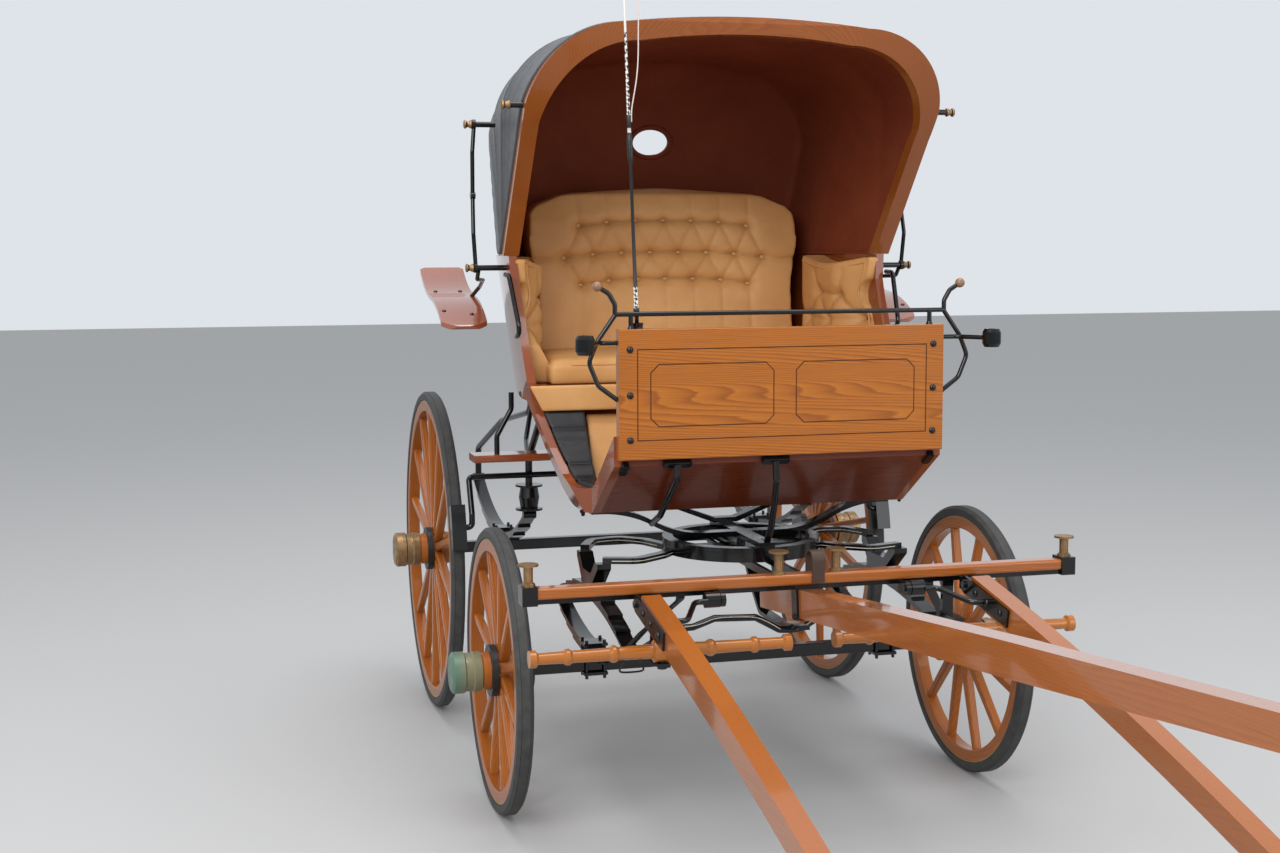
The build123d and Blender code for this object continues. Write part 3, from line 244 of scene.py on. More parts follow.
def tyre(name):
    """Grey-black rubber, dusty on the tread, with a groove near each side of it, painted near-black as shade
    in the groove.
    """
    material, shader, add, link = new_material(name)
    place_of = add("ShaderNodeTexCoord").outputs["Object"]
    dust = noise(add, place_of, 26, 6, 0.7)
    fine = noise(add, place_of, 500, 3)
    groove_reach = 0.0115
    aside = maths(add, "ABSOLUTE", maths(add, "SUBTRACT", outwards(add, place_of), wheel_reach))
    from_groove = maths(add, "ABSOLUTE", maths(add, "SUBTRACT", aside, groove_reach))
    groove_and_shade = levels(add, from_groove, 0.0004, 0.0012, 1.0, 0.0)
    plain = ramp(add, dust, [(0.3, (0.016, 0.016, 0.016)), (0.75, (0.06, 0.058, 0.054))])
    # Painted shade: the groove is coloured near-black
    link(mixed(add, groove_and_shade, plain, (0.004, 0.004, 0.004)), shader.inputs["Base Color"])
    link(levels(add, dust, 0.3, 0.7, 0.55, 0.8), shader.inputs["Roughness"])
    bump(add, link, shader, maths(add, "SUBTRACT", fine, groove_and_shade), 0.0006, 0.5)
    return material


def leather(name, colour, shade, roughness=0.48, grain=420, specular=0.35):
    """Leather with a fine pebbled grain, soft creases and uneven colour, darkened by painted shade in its
    sewn creases and round its buttons.
    """
    material, shader, add, link = new_material(name)
    place_of = add("ShaderNodeTexCoord").outputs["Object"]
    patch = noise(add, place_of, 5, 5, 0.6)
    creases = noise(add, place_of, 34, 4, 0.6, 1.2)
    cells = add("ShaderNodeTexVoronoi", {"Vector": place_of, "Scale": grain}, feature="DISTANCE_TO_EDGE")
    pebble = levels(add, cells.outputs[0], 0.0, 0.3)
    # Painted shade: values stored on the mesh darken the colour in sewn creases and round buttons
    crease_shade = add("ShaderNodeAttribute", attribute_name="crease_shade").outputs["Fac"]
    plain = mixed(add, levels(add, patch, 0.3, 0.72), colour, shade)
    link(mixed(add, levels(add, crease_shade, 0.15, 1.0, 0.0, 0.55), plain, tuple(0.35 * part for part in shade)),
         shader.inputs["Base Color"])
    link(levels(add, creases, 0.3, 0.7, roughness - 0.06, roughness + 0.12), shader.inputs["Roughness"])
    shader.inputs["Specular IOR Level"].default_value = specular
    first = bump(add, link, shader, creases, 0.002, 0.25)
    bump(add, link, shader, pebble, 0.0003, 0.5, first)
    return material


def cord_material(name, colour, shade):
    """Twisted cord, its strands running round it."""
    material, shader, add, link = new_material(name)
    place_of = add("ShaderNodeTexCoord").outputs["Object"]
    strands = add("ShaderNodeTexWave", {"Vector": place_of, "Scale": 160.0, "Distortion": 1.0},
                  wave_type="BANDS", bands_direction="DIAGONAL").outputs["Fac"]
    link(mixed(add, strands, shade, colour), shader.inputs["Base Color"])
    shader.inputs["Roughness"].default_value = 0.8
    bump(add, link, shader, strands, 0.0004, 0.5)
    return material


def whip_finish():
    """Black stick and binding, with plaited white and black at the foot and above the silver ferrule."""
    material, shader, add, link = new_material("whip")
    place_of = add("ShaderNodeTexCoord").outputs["Object"]
    height = add("ShaderNodeSeparateXYZ", {0: place_of}).outputs["Z"]
    white, black, silver = (0.62, 0.58, 0.54), (0.006, 0.006, 0.006), (0.45, 0.45, 0.45)
    squares = {"Vector": spread(add, place_of, (1, 1, 0.8), (0.4, 0.5, 0)), "Color1": (*white, 1),
               "Color2": (*black, 1), "Scale": 150.0}
    plait = add("ShaderNodeTexChecker", squares).outputs["Color"]
    bands_upwards = ((1.367, plait), (1.420, black), (1.803, silver), (1.8145, black), (1.8465, plait),
                     (2.050, white))
    colour = black
    for level, band in bands_upwards:
        colour = mixed(add, beyond(add, height, level), colour, band)
    link(colour, shader.inputs["Base Color"])
    link(levels(add, noise(add, place_of, 300, 3), 0.3, 0.7, 0.25, 0.5), shader.inputs["Roughness"])
    return material


# Light, middle and dark colours of each wood
pale_wood = ((0.43, 0.143, 0.016), (0.34, 0.098, 0.009), (0.18, 0.042, 0.004))
orange_wood = ((0.36, 0.108, 0.014), (0.28, 0.072, 0.009), (0.15, 0.032, 0.004))
wheel_colours = ((0.40, 0.125, 0.022), (0.29, 0.080, 0.013), (0.15, 0.034, 0.005))
rim_colours = ((0.32, 0.092, 0.014), (0.23, 0.058, 0.009), (0.12, 0.026, 0.004))
ball_colours = ((0.27, 0.15, 0.085), (0.22, 0.115, 0.06), (0.12, 0.06, 0.03))
red_colours = ((0.27, 0.062, 0.013), (0.20, 0.040, 0.009), (0.09, 0.016, 0.005))
dark_red_colours = ((0.17, 0.034, 0.009), (0.13, 0.023, 0.006), (0.06, 0.010, 0.003))
board_colours = ((0.30, 0.075, 0.028), (0.24, 0.055, 0.020), (0.13, 0.03, 0.012))
wood_x = varnished("wood across", *orange_wood, "x", 0.35, 0.9)
wood_y = varnished("wood along", *orange_wood, "y", 0.25, 1.0)
dash_wood = varnished("dash wood", *pale_wood, "x", 0.65, 0.5)
front_wood = varnished("front wheel wood", *wheel_colours, "x", 0.35, 0.35, round_hub=front_wheel,
                       specular=0.15)
rear_wood = varnished("rear wheel wood", *wheel_colours, "x", 0.35, 0.35, round_hub=rear_wheel, specular=0.15)
rim_wood = varnished("hood rim wood", *rim_colours, "x", 0.3, round_arch=(0.0, 1.65, 0.6))
tree_wood = varnished("tree wood", *pale_wood, "x", 0.3, 0.9)
ball_wood = varnished("ball wood", *ball_colours, "z", 0.2, 0.3)
red_wood = varnished("red-brown wood", *red_colours, "y", 0.3, 1.0)
dark_red_wood = varnished("dark red wood", *dark_red_colours, "x", 0.3, 0.2)
board_wood = varnished("board wood", *board_colours, "y", 0.3, 1.0, coat_ior=2.2)
black_iron = iron("black iron")
old_brass = brass("old brass", 0.25)
nave_band = (0.60, wheel_reach + 0.03)
hub_brass = brass("hub brass", 0.3, *nave_band)
green_brass = brass("green brass", 0.95, *nave_band)
rubber = tyre("tyre rubber")
white_cord = cord_material("white cord", (0.75, 0.66, 0.60), (0.45, 0.38, 0.34))
line_brown = cord_material("line brown", (0.075, 0.022, 0.006), (0.055, 0.016, 0.005))
cream = cord_material("cream paint", (0.62, 0.60, 0.50), (0.55, 0.52, 0.43))
tan = leather("tan leather", (0.63, 0.335, 0.125), (0.52, 0.25, 0.080))
lining = leather("brown lining", (0.23, 0.052, 0.022), (0.18, 0.036, 0.015), 0.7, 700, 0.15)
hood_leather = leather("hood leather", (0.085, 0.088, 0.092), (0.06, 0.062, 0.066), 0.4, 300)
strap_leather = leather("brown strap leather", (0.060, 0.033, 0.022), (0.04, 0.021, 0.014), 0.5, 500)
pad_leather = leather("black pad leather", (0.010, 0.010, 0.011), (0.014, 0.014, 0.016), 0.4, 380)

finishes = {
    "front_axle": black_iron, "rear_axle": black_iron, "front_springs": black_iron,
    "rear_springs": black_iron, "front_clips": black_iron, "rear_clips": black_iron,
    "lower_bed": black_iron, "fore_irons": black_iron, "splinter_irons": black_iron,
    "shaft_irons_left": black_iron, "shaft_irons_right": black_iron, "upper_bed": black_iron,
    "hood_irons": black_iron, "dash_rail": black_iron, "grab_handles": black_iron,
    "splash_irons": black_iron, "spring_hangers": black_iron, "brake_gear": black_iron,
    "step_irons": black_iron, "whip_socket": black_iron, "whip": black_iron, "pole_head": black_iron,
    "dash_irons": black_iron, "roller_bolts": old_brass, "splinter_bar": wood_x,
    "swingle_tree_left": tree_wood, "swingle_tree_right": tree_wood, "pole": wood_y, "shaft_left": wood_y,
    "shaft_right": wood_y, "side_panels": red_wood, "toe_board": dark_red_wood, "foot_board": red_wood,
    "seat_deck": red_wood, "back_panel": red_wood, "dash_board": dash_wood, "seat_cushion": tan,
    "seat_back": tan, "arm_pads": tan, "seat_fall": tan, "heel_pad": tan, "rocker_pads": pad_leather,
    "hood_cover": hood_leather, "hood_rim": rim_wood, "splash_boards": board_wood, "step_boards": red_wood,
    "whip_thong": white_cord, "bar_loop": strap_leather,
}
for name, node in nodes.items():
    if name.startswith(("front_tyre", "rear_tyre")):
        finish = rubber
    elif name.startswith("front_wheel"):
        finish = front_wood
    elif name.startswith("rear_wheel"):
        finish = rear_wood
    elif name == "front_hub_right":
        finish = green_brass
    elif "_hub_" in name:
        finish = hub_brass
    else:
        finish = finishes[name]
    node.data.materials.clear()
    node.data.materials.append(finish)

# Camera, at the photograph's place
yaw, pitch, roll = (math.radians(angle) for angle in (-15.227, 6.003, -0.2246))
focal_pixels, picture_width = 1727.55, 1280
camera_place = place(-1.5187, -4.5131, 1.5254)
forward = Vector((-math.sin(yaw) * math.cos(pitch), math.cos(yaw) * math.cos(pitch), -math.sin(pitch)))
right = Vector((math.cos(yaw), math.sin(yaw), 0))
up = right.cross(forward)
level_right = right * math.cos(roll) + up * math.sin(roll)
level_up = up * math.cos(roll) - right * math.sin(roll)
camera_data = bpy.data.cameras.new("camera")
camera_data.sensor_width = 36
camera_data.lens = camera_data.sensor_width * focal_pixels / picture_width
camera = bpy.data.objects.new("camera", camera_data)
bpy.context.collection.objects.link(camera)
turn = Matrix((level_right, level_up, -forward)).transposed()
camera.matrix_world = Matrix.Translation(camera_place) @ turn.to_4x4()
bpy.context.scene.camera = camera
bpy.context.scene.view_settings.view_transform = "Standard"


# Making pieces
same_spot = 1e-5


def finished(name, mesh, material, body):
    """An object made of a mesh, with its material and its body."""
    piece = bpy.data.objects.new(name, mesh)
    bpy.context.collection.objects.link(piece)
    mesh.materials.clear()
    mesh.materials.append(material)
    for polygon in mesh.polygons:
        polygon.use_smooth = True
    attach(piece, body)
    return piece


def closed(form, name):
    """A mesh of a form, its doubles merged and its faces pointing outwards."""
    bmesh.ops.remove_doubles(form, verts=form.verts, dist=same_spot)
    bmesh.ops.recalc_face_normals(form, faces=form.faces)
    mesh = bpy.data.meshes.new(name)
    form.to_mesh(mesh)
    form.free()
    return mesh


def spun(form, profile, centre, facing, steps=20):
    """Spin a profile of (radius, height) about an axis that stands on a centre."""
    facing = Vector(facing).normalized()
    tilt = facing.to_track_quat("Z", "Y").to_matrix()
    verts = [form.verts.new(tilt @ Vector((radius, 0, height)) + centre) for radius, height in profile]
    edges = [form.edges.new(pair) for pair in zip(verts, verts[1:])]
    bmesh.ops.spin(form, geom=verts + edges, cent=centre, axis=facing, angle=2 * math.pi, steps=steps,
                   use_merge=True)


def studs(name, spots, profile, material, body, steps=20):
    """Turned heads of one profile, each at a spot and facing a way."""
    form = bmesh.new()
    for spot, facing in spots:
        spun(form, profile, spot, facing, steps)
    return finished(name, closed(form, name), material, body)


def thread(name, runs, radius, material, body, cyclic=False):
    """Round piping or a fine painted line along smooth runs of points."""
    curve = bpy.data.curves.new(name, "CURVE")
    curve.dimensions = "3D"
    curve.bevel_depth = radius
    curve.bevel_resolution = 2
    curve.use_fill_caps = True
    curve.resolution_u = 6
    for points in runs:
        spline = curve.splines.new("NURBS")
        spline.points.add(len(points) - 1)
        for knot, point in zip(spline.points, points):
            knot.co = (*point, 1)
        spline.order_u = 3
        spline.use_cyclic_u = cyclic
        spline.use_endpoint_u = not cyclic
    line = bpy.data.objects.new(name, curve)
    mesh = bpy.data.meshes.new_from_object(line)
    bpy.data.objects.remove(line)
    return finished(name, mesh, material, body)


def even_form(names, voxel, rounds):
    """A form of some nodes' solids, meshed evenly and eased at the edges."""
    start = bmesh.new()
    for name in names:
        start.from_mesh(nodes[name].data)
    bmesh.ops.remove_doubles(start, verts=start.verts, dist=same_spot)
    mesh = bpy.data.meshes.new("even")
    start.to_mesh(mesh)
    start.free()
    block = bpy.data.objects.new("even", mesh)
    bpy.context.collection.objects.link(block)
    remesh = block.modifiers.new("even", "REMESH")
    remesh.mode = "VOXEL"
    remesh.voxel_size = voxel
    even = bpy.data.meshes.new_from_object(block.evaluated_get(bpy.context.evaluated_depsgraph_get()))
    bpy.data.objects.remove(block)
    form = bmesh.new()
    form.from_mesh(even)
    for _ in range(rounds):
        bmesh.ops.smooth_vert(form, verts=form.verts, factor=0.5, use_axis_x=True, use_axis_y=True,
                              use_axis_z=True)
    form.normal_update()
    return form


def fall(distance, width):
    """A smooth bell that falls away from 1 over a width."""
    return math.exp(-(distance / width) ** 2)


def off_line(spot, first, last):
    """A spot's distance from a straight line between two others, in a plane."""
    run = last - first
    share = max(0.0, min(1.0, (spot - first).dot(run) / run.length_squared))
    return (spot - first - run * share).length


def tufted(form, flatten, buttons, creases, puff, dip, sink, width, faces):
    """Press a sewn pattern into the side of a form that faces a way, and store painted shade for its creases
    and buttons.
    """
    # Painted shade, which the leather's colour reads
    shade_mark = form.verts.layers.float.new("crease_shade")
    least_facing, pillow_width, dip_width, shade_mark_width = 0.25, 3.5 * width, 0.02, 0.010
    moves = []
    for vert in form.verts:
        facing = vert.normal.dot(faces)
        if facing < least_facing:
            continue
        spot = flatten(vert.co)
        line, pillow = 0.0, 1.0
        for first, last, weight in creases:
            distance = off_line(spot, first, last)
            line = max(line, weight * math.exp(-distance / width))
            pillow = min(pillow, 1 - weight * math.exp(-distance / pillow_width))
        button = min((spot - centre).length for centre in buttons)
        depth = puff * pillow - sink * line - dip * fall(button, dip_width)
        moves.append((vert, faces * depth * min(1.0, (facing - least_facing) * 2.5)))
        # Painted shade in the sewn lines and round the buttons
        vert[shade_mark] = min(1.0, line ** 1.5 + fall(button, shade_mark_width))
    for vert, move in moves:
        vert.co += move


def pad(name, form, material, replaced):
    """A padded piece made of a form, in place of its plain solids."""
    mesh = bpy.data.meshes.new(name)
    form.normal_update()
    form.to_mesh(mesh)
    form.free()
    piece = finished(name, mesh, material, "carriage")
    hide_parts(*replaced)
    return piece


def surface(piece):
    """A function that gives where a ray from a spot meets a piece."""
    tree = BVHTree.FromPolygons([vert.co for vert in piece.data.vertices],
                                [polygon.vertices for polygon in piece.data.polygons])

    def meet(spot, direction):
        return tree.ray_cast(spot, Vector(direction))[0]

    return meet


def arc_points(first, middle, last, count):
    """Points along the round arc through three points of a plane."""
    a, b, c = Vector(first), Vector(middle), Vector(last)
    d = 2 * (a.x * (b.y - c.y) + b.x * (c.y - a.y) + c.x * (a.y - b.y))
    squared_a, squared_b, squared_c = a.dot(a), b.dot(b), c.dot(c)
    x = (squared_a * (b.y - c.y) + squared_b * (c.y - a.y) + squared_c * (a.y - b.y)) / d
    y = (squared_a * (c.x - b.x) + squared_b * (a.x - c.x) + squared_c * (b.x - a.x)) / d
    centre = Vector((x, y))
    start = math.atan2(a.y - centre.y, a.x - centre.x)
    sweep = (math.atan2(c.y - centre.y, c.x - centre.x) - start + math.pi) % (2 * math.pi) - math.pi
    radius = (a - centre).length
    turns = [start + sweep * step / count for step in range(count + 1)]
    return [centre + radius * Vector((math.cos(turned_by), math.sin(turned_by))) for turned_by in turns]


# Whip thong, along the route of its solid
whip_base = place(-0.374, -0.308, 1.130)
whip_lean = math.radians(2.1)
along_whip = Vector((-math.sin(whip_lean), 0, math.cos(whip_lean)))
across_whip = Vector((math.cos(whip_lean), 0, math.sin(whip_lean)))
thong_thickness = 0.0032
thong_route = [(0, 1.2), (0, 1.218), (0.008, 1.236), (0.024, 1.24), (0.036, 1.226), (0.038, 1.198),
               (0.0365, 1.15), (0.0385, 1.093), (0.036, 1.035), (0.0365, 0.977), (0.033, 0.92),
               (0.031, 0.862), (0.025, 0.808), (0.015, 0.762), (0.0068, 0.726), (0.0068, 0.7)]
thong_points = [whip_base + across_whip * aside + along_whip * along for aside, along in thong_route]
thong_curve = bpy.data.curves.new("whip_thong", "CURVE")
thong_curve.dimensions = "3D"
thong_curve.bevel_depth = thong_thickness / 2
thong_curve.bevel_resolution = 3
thong_curve.use_fill_caps = True
thong_line = thong_curve.splines.new("NURBS")
thong_line.points.add(len(thong_points) - 1)
for knot, point in zip(thong_line.points, thong_points):
    knot.co = (*point, 1)
thong_line.order_u = 3
thong_line.use_endpoint_u = True
thong = bpy.data.objects.new("whip_thong_line", thong_curve)
bpy.context.collection.objects.link(thong)
thong_curve.materials.append(white_cord)
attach(thong, "carriage")
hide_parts("whip_thong")
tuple(thong_points[0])

# Whip: black stick, thick binding, silver ferrule and plaited quill
whip_profile = [(0, 0.0205), (0.0054, 0.0205), (0.0052, 0.222), (0.0075, 0.225), (0.0075, 0.237),
                (0.0056, 0.239), (0.0056, 0.290), (0.0049, 0.292), (0.0039, 0.597), (0.0062, 0.601),
                (0.0074, 0.612), (0.0076, 0.655), (0.0062, 0.672), (0.0048, 0.673), (0.0048, 0.685),
                (0.0053, 0.686), (0.0053, 0.717), (0.0044, 0.719), (0.0032, 0.921), (0.0018, 1.2), (0, 1.2)]
form = bmesh.new()
spun(form, whip_profile, whip_base, along_whip, 24)
whip = finished("whip_stick", closed(form, "whip_stick"), whip_finish(), "carriage")
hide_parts("whip")

# Seat back: three rows of buttons, with sewn lines between them and out to its edges
rows = [(7, 0.277, 1.602), (8, 0.327, 1.502), (7, 0.276, 1.419)]
row_bow = 0.017
back_side, back_top, back_foot = 0.45, 1.72, 1.16
button_rows = []
for count, half_span, level in rows:
    row = []
    for number in range(count):
        across = half_span * (2 * number / (count - 1) - 1)
        row.append(Vector((across, level - row_bow * abs(across / half_span) ** 3)))
    button_rows.append(row)
top_row, middle_row, low_row = button_rows
creases = []
for row in button_rows:
    creases += [(first, last, 1.0) for first, last in zip(row, row[1:])]
for end in (middle_row[0], middle_row[-1]):
    creases.append((end, Vector((math.copysign(back_side, end.x), end.y - 0.004)), 0.8))
for number in range(7):
    for row in (top_row, low_row):
        creases += [(row[number], middle_row[number], 0.5), (row[number], middle_row[number + 1], 0.5)]
    creases.append((top_row[number], Vector((top_row[number].x * 1.04, back_top)), 0.3))
    creases.append((low_row[number], Vector((low_row[number].x * 1.02, back_foot)), 0.4))
buttons = [spot for row in button_rows for spot in row]
form = even_form(["seat_back"], 0.005, 14)
shoulder_level, waist_level, corner_level, corner_across = 1.565, 1.40, 1.60, 0.30
for vert in form.verts:
    shoulder = fall(vert.co.z - shoulder_level, 0.085)
    waist = 1 - min(1, max(0, (vert.co.z - waist_level) / 0.12))
    corner = max(0, vert.co.z - corner_level) * max(0, abs(vert.co.x) - corner_across) * 1.5
    vert.co.x *= 1 + 0.012 * shoulder - 0.045 * waist
    vert.co.z -= corner
form.normal_update()
tufted(form, lambda spot: Vector((spot.x, spot.z)), buttons, creases, puff=0.012, dip=0.013, sink=0.006,
       width=0.0055, faces=Vector((0, -1, 0)))
seat_back = pad("tufted_seat_back", form, tan, ["seat_back"])
meet = surface(seat_back)
button_profile = [(0, 0.0045), (0.003, 0.0042), (0.0055, 0.003), (0.007, 0.001), (0.007, -0.003)]
button_spots = [(meet(Vector((spot.x, axle_y + 0.4, spot.y)), (0, 1, 0)), (0, -1, 0.15)) for spot in buttons]
studs("seat_back_buttons", button_spots, button_profile, tan, "carriage", 14)

# Seat cushion, crowned and piped along its edges
crown, uneven, bulge = 0.014, 0.0015, 0.006
form = even_form(["seat_cushion"], 0.006, 10)
cushion_low, cushion_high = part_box("seat_cushion")
cushion_middle = (cushion_low + cushion_high) / 2
cushion_half = (cushion_high - cushion_low) / 2
for vert in form.verts:
    share = vert.co - cushion_middle
    across, along = share.x / cushion_half.x, share.y / cushion_half.y
    rim = (1 - min(1, abs(across)) ** 6) * (1 - min(1, abs(along)) ** 4)
    if vert.normal.z > 0.3:
        vert.co.z += crown * rim + uneven * math.sin(9 * share.x + 2) * math.sin(13 * share.y)
    elif abs(vert.normal.z) < 0.4:
        middle = 1 - min(1, abs(share.z / cushion_half.z)) ** 2
        vert.co += vert.normal * (bulge * middle - 0.001)
    if share.z < 0 and vert.normal.z < 0.4:
        # The lower half reaches down to the deck
        vert.co.z = max(cushion_low.z + 0.0005, vert.co.z - 0.006)
cushion = pad("seat_cushion_leather", form, tan, ["seat_cushion"])
meet = surface(cushion)
seam_route = [(-0.47, 0.62), (-0.478, 0.30), (-0.455, 0.23)]
seam_route += [(0.091 * step, 0.23) for step in range(-4, 5)]
seam_route += [(0.455, 0.23), (0.478, 0.30), (0.47, 0.62)]
seam_level = 1.196
seam = []
for across, along in seam_route:
    sideways = math.copysign(min(1, max(0, (abs(across) - 0.44) / 0.03)), across)
    inward = Vector((-sideways, 1 if along < 0.29 else 0, -0.9))
    met = meet(place(across, along, seam_level) - inward * 0.1, inward)
    if met:
        seam.append(met)
thread("seat_cushion_piping", [seam], 0.0032, tan, "carriage")

# Arm pads, tufted on their inner sides and rolled over along the top
form = even_form(["arm_pads"], 0.005, 9)
arm_buttons = [Vector(spot) for spot in ((0.596, 1.377), (0.468, 1.372), (0.667, 1.297), (0.527, 1.291),
                                         (0.395, 1.30), (0.596, 1.215), (0.462, 1.21))]
arm_creases = [(0, 1, 0.9), (0, 2, 0.8), (0, 3, 0.8), (1, 3, 0.8), (1, 4, 0.8), (2, 5, 0.7), (3, 5, 0.7),
               (3, 6, 0.7), (4, 6, 0.7), (2, 3, 0.5), (3, 4, 0.5), (5, 6, 0.5)]
edge_creases = [(0, (0.62, 1.44)), (1, (0.45, 1.44)), (2, (0.72, 1.33)), (5, (0.60, 1.14)), (6, (0.46, 1.14)),
                (4, (0.33, 1.29))]
arm_lines = [(arm_buttons[first], arm_buttons[last], weight) for first, last, weight in arm_creases]
arm_lines += [(arm_buttons[first], Vector(spot), 0.5) for first, spot in edge_creases]


def along_body(spot):
    """A spot in the side view, with y measured from the front axle."""
    return Vector((spot.y - axle_y, spot.z))


# One arm pad is shaped, its front flared outwards, and mirrored
flare = 0.074
bmesh.ops.delete(form, geom=[vert for vert in form.verts if vert.co.x < 0], context="VERTS")
for vert in form.verts:
    forward_share = min(1, max(0, (0.49 - along_body(vert.co).x) / 0.14))
    inward_share = min(1, max(0, (0.562 - vert.co.x) / 0.095))
    upper_share = min(1, max(0, (vert.co.z - 1.17) / 0.13))
    vert.co.x += flare * inward_share * upper_share * forward_share ** 2 * (3 - 2 * forward_share)
form.normal_update()
tufted(form, along_body, arm_buttons, arm_lines, puff=0.010, dip=0.016, sink=0.006, width=0.006,
       faces=Vector((-1, 0, 0)))


def mirrored(form):
    """Add a form's mirror image on the other side of the carriage."""
    copy = bmesh.ops.duplicate(form, geom=form.verts[:] + form.edges[:] + form.faces[:])["geom"]
    verts = [item for item in copy if isinstance(item, bmesh.types.BMVert)]
    faces = [item for item in copy if isinstance(item, bmesh.types.BMFace)]
    bmesh.ops.scale(form, vec=(-1, 1, 1), verts=verts)
    bmesh.ops.reverse_faces(form, faces=faces)


mirrored(form)
arm_pads = pad("tufted_arm_pads", form, tan, ["arm_pads"])
meet = surface(arm_pads)
arm_top = [(0.385, 1.4865), (0.45, 1.474), (0.53, 1.466), (0.61, 1.472), (0.70, 1.490)]
arm_front = [(0.305, 1.15), (0.308, 1.24), (0.35, 1.30), (0.375, 1.345), (0.393, 1.38), (0.376, 1.42),
             (0.366, 1.47)]
between_arms = 0.36
pipes = []
for side in (-1, 1):
    for shift in (0.004, 0.017):
        run = [meet(place(side * between_arms, y, z - shift), (side, 0, 0)) for y, z in arm_top]
        pipes.append([spot for spot in run if spot])
    run = [meet(place(side * between_arms, y + 0.014, z), (side, 0, 0)) for y, z in arm_front]
    pipes.append([spot for spot in run if spot])
thread("arm_pad_piping", pipes, 0.003, tan, "carriage")

# Seat fall with a slight wave that grows downwards, heel pad and rocker pads
fall_top, fall_height, wave_depth = 1.14, 0.07, 0.0025
form = even_form(["seat_fall"], 0.004, 3)
for vert in form.verts:
    if vert.normal.y < -0.3:
        vert.co.y += wave_depth * math.sin(7 * vert.co.x + 1) * (fall_top - vert.co.z) / fall_height
pad("seat_fall_leather", form, tan, ["seat_fall"])
form = even_form(["heel_pad"], 0.005, 4)
pad("heel_pad_leather", form, tan, ["heel_pad"])
form = even_form(["rocker_pads"], 0.004, 6)
pad_creases = [((-0.06, 0.958), (0.10, 0.925)), ((-0.02, 0.905), (0.06, 0.86)), ((0.03, 1.03), (0.19, 1.015)),
               ((0.02, 0.998), (0.10, 0.992))]
rocker_lines = [(Vector(first), Vector(last)) for first, last in pad_creases]
# Painted shade along the creases of the rocker pads, which the leather's colour reads
shade_mark = form.verts.layers.float.new("crease_shade")
for vert in form.verts:
    spot = along_body(vert.co)
    line = max(0.9 * math.exp(-off_line(spot, first, last) / 0.006) for first, last in rocker_lines)
    puff = 0.004 * math.sin(spot.y * 24 + spot.x * 3)
    vert.co += vert.normal * (puff * 0.4 - 0.005 * line)
    vert[shade_mark] = 0.6 * line
pad("rocker_pad_leather", form, pad_leather, ["rocker_pads"])

# Hood: leather outside and lining inside, stretched over bows that fan out from the sides
bow_pivot = Vector((0.43, 1.40))
bow_angles = [math.radians(angle) for angle in (124, 101, 78, 52)]
hood_middle = place(0, 0.45, 1.75)
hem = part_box("hood_cover")[0].z + 0.0003
hem_top = 1.54
belt_level = 1.50


def hood_skin(inner):
    """The leather or the lining of the hood: one face of its shell, meshed evenly."""
    form = even_form(["hood_cover"], 0.008, 6)
    other = [face for face in form.faces
             if (face.normal.dot(hood_middle - face.calc_center_median()) > 0.05) != inner]
    bmesh.ops.delete(form, geom=other, context="FACES")
    lowest = min(vert.co.z for vert in form.verts)
    for vert in form.verts:
        if vert.co.z < hem_top:
            vert.co.z = hem + (vert.co.z - lowest) * (hem_top - hem) / (hem_top - lowest)
    return form


def thin_skin(name, form, material, thickness):
    """A sheet of the hood with its thickness behind its face."""
    mesh = bpy.data.meshes.new(name)
    form.normal_update()
    cut = sum(face.calc_area() for face in form.faces)
    form.to_mesh(mesh)
    form.free()
    skin = finished(name, mesh, material, "carriage")
    wall = skin.modifiers.new("thickness", "SOLIDIFY")
    wall.thickness = thickness
    wall.offset = -1
    return skin


sag_depth, fold_depth = 0.010, 0.005
form = hood_skin(False)
for vert in form.verts:
    reach = along_body(vert.co) - bow_pivot
    angle = math.atan2(reach.y, reach.x)
    sag = 0.0
    for front, back in zip(bow_angles, bow_angles[1:]):
        if back < angle < front:
            sag = math.sin(math.pi * (angle - back) / (front - back)) * min(1, reach.length / 0.3)
    fold = 0.0
    if abs(vert.normal.x) > 0.4:
        fold = (0.5 + 0.5 * math.sin(75 * angle + 2 * math.sin(11 * angle))) * math.exp(-reach.length / 0.45)
    edge = min(1, (vert.co.z - belt_level) / 0.06)
    vert.co -= vert.normal * (sag_depth * sag + fold_depth * fold) * edge
hood_leather_skin = thin_skin("hood_leather_cover", form, hood_leather, 0.0022)
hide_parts("hood_cover")
hood_lining = thin_skin("hood_lining", hood_skin(True), lining, 0.0015)

# Welts over the bows, piping at the rim and rings round the window
meet = surface(hood_leather_skin)
welts = []
for angle in bow_angles[1:]:
    ray = Vector((0, math.cos(angle), math.sin(angle)))
    start = place(0, bow_pivot.x, bow_pivot.y) + 0.25 * ray
    run = []
    for step in range(-4, 41):
        turned_by = math.pi * step / 36
        way = Vector((math.cos(turned_by), 0, 0)) + math.sin(turned_by) * ray
        spot = meet(start, way)
        if spot and spot.z > belt_level + 0.005:
            run.append(spot)
    welts.append(run)
thread("hood_welts", welts, 0.004, hood_leather, "carriage")

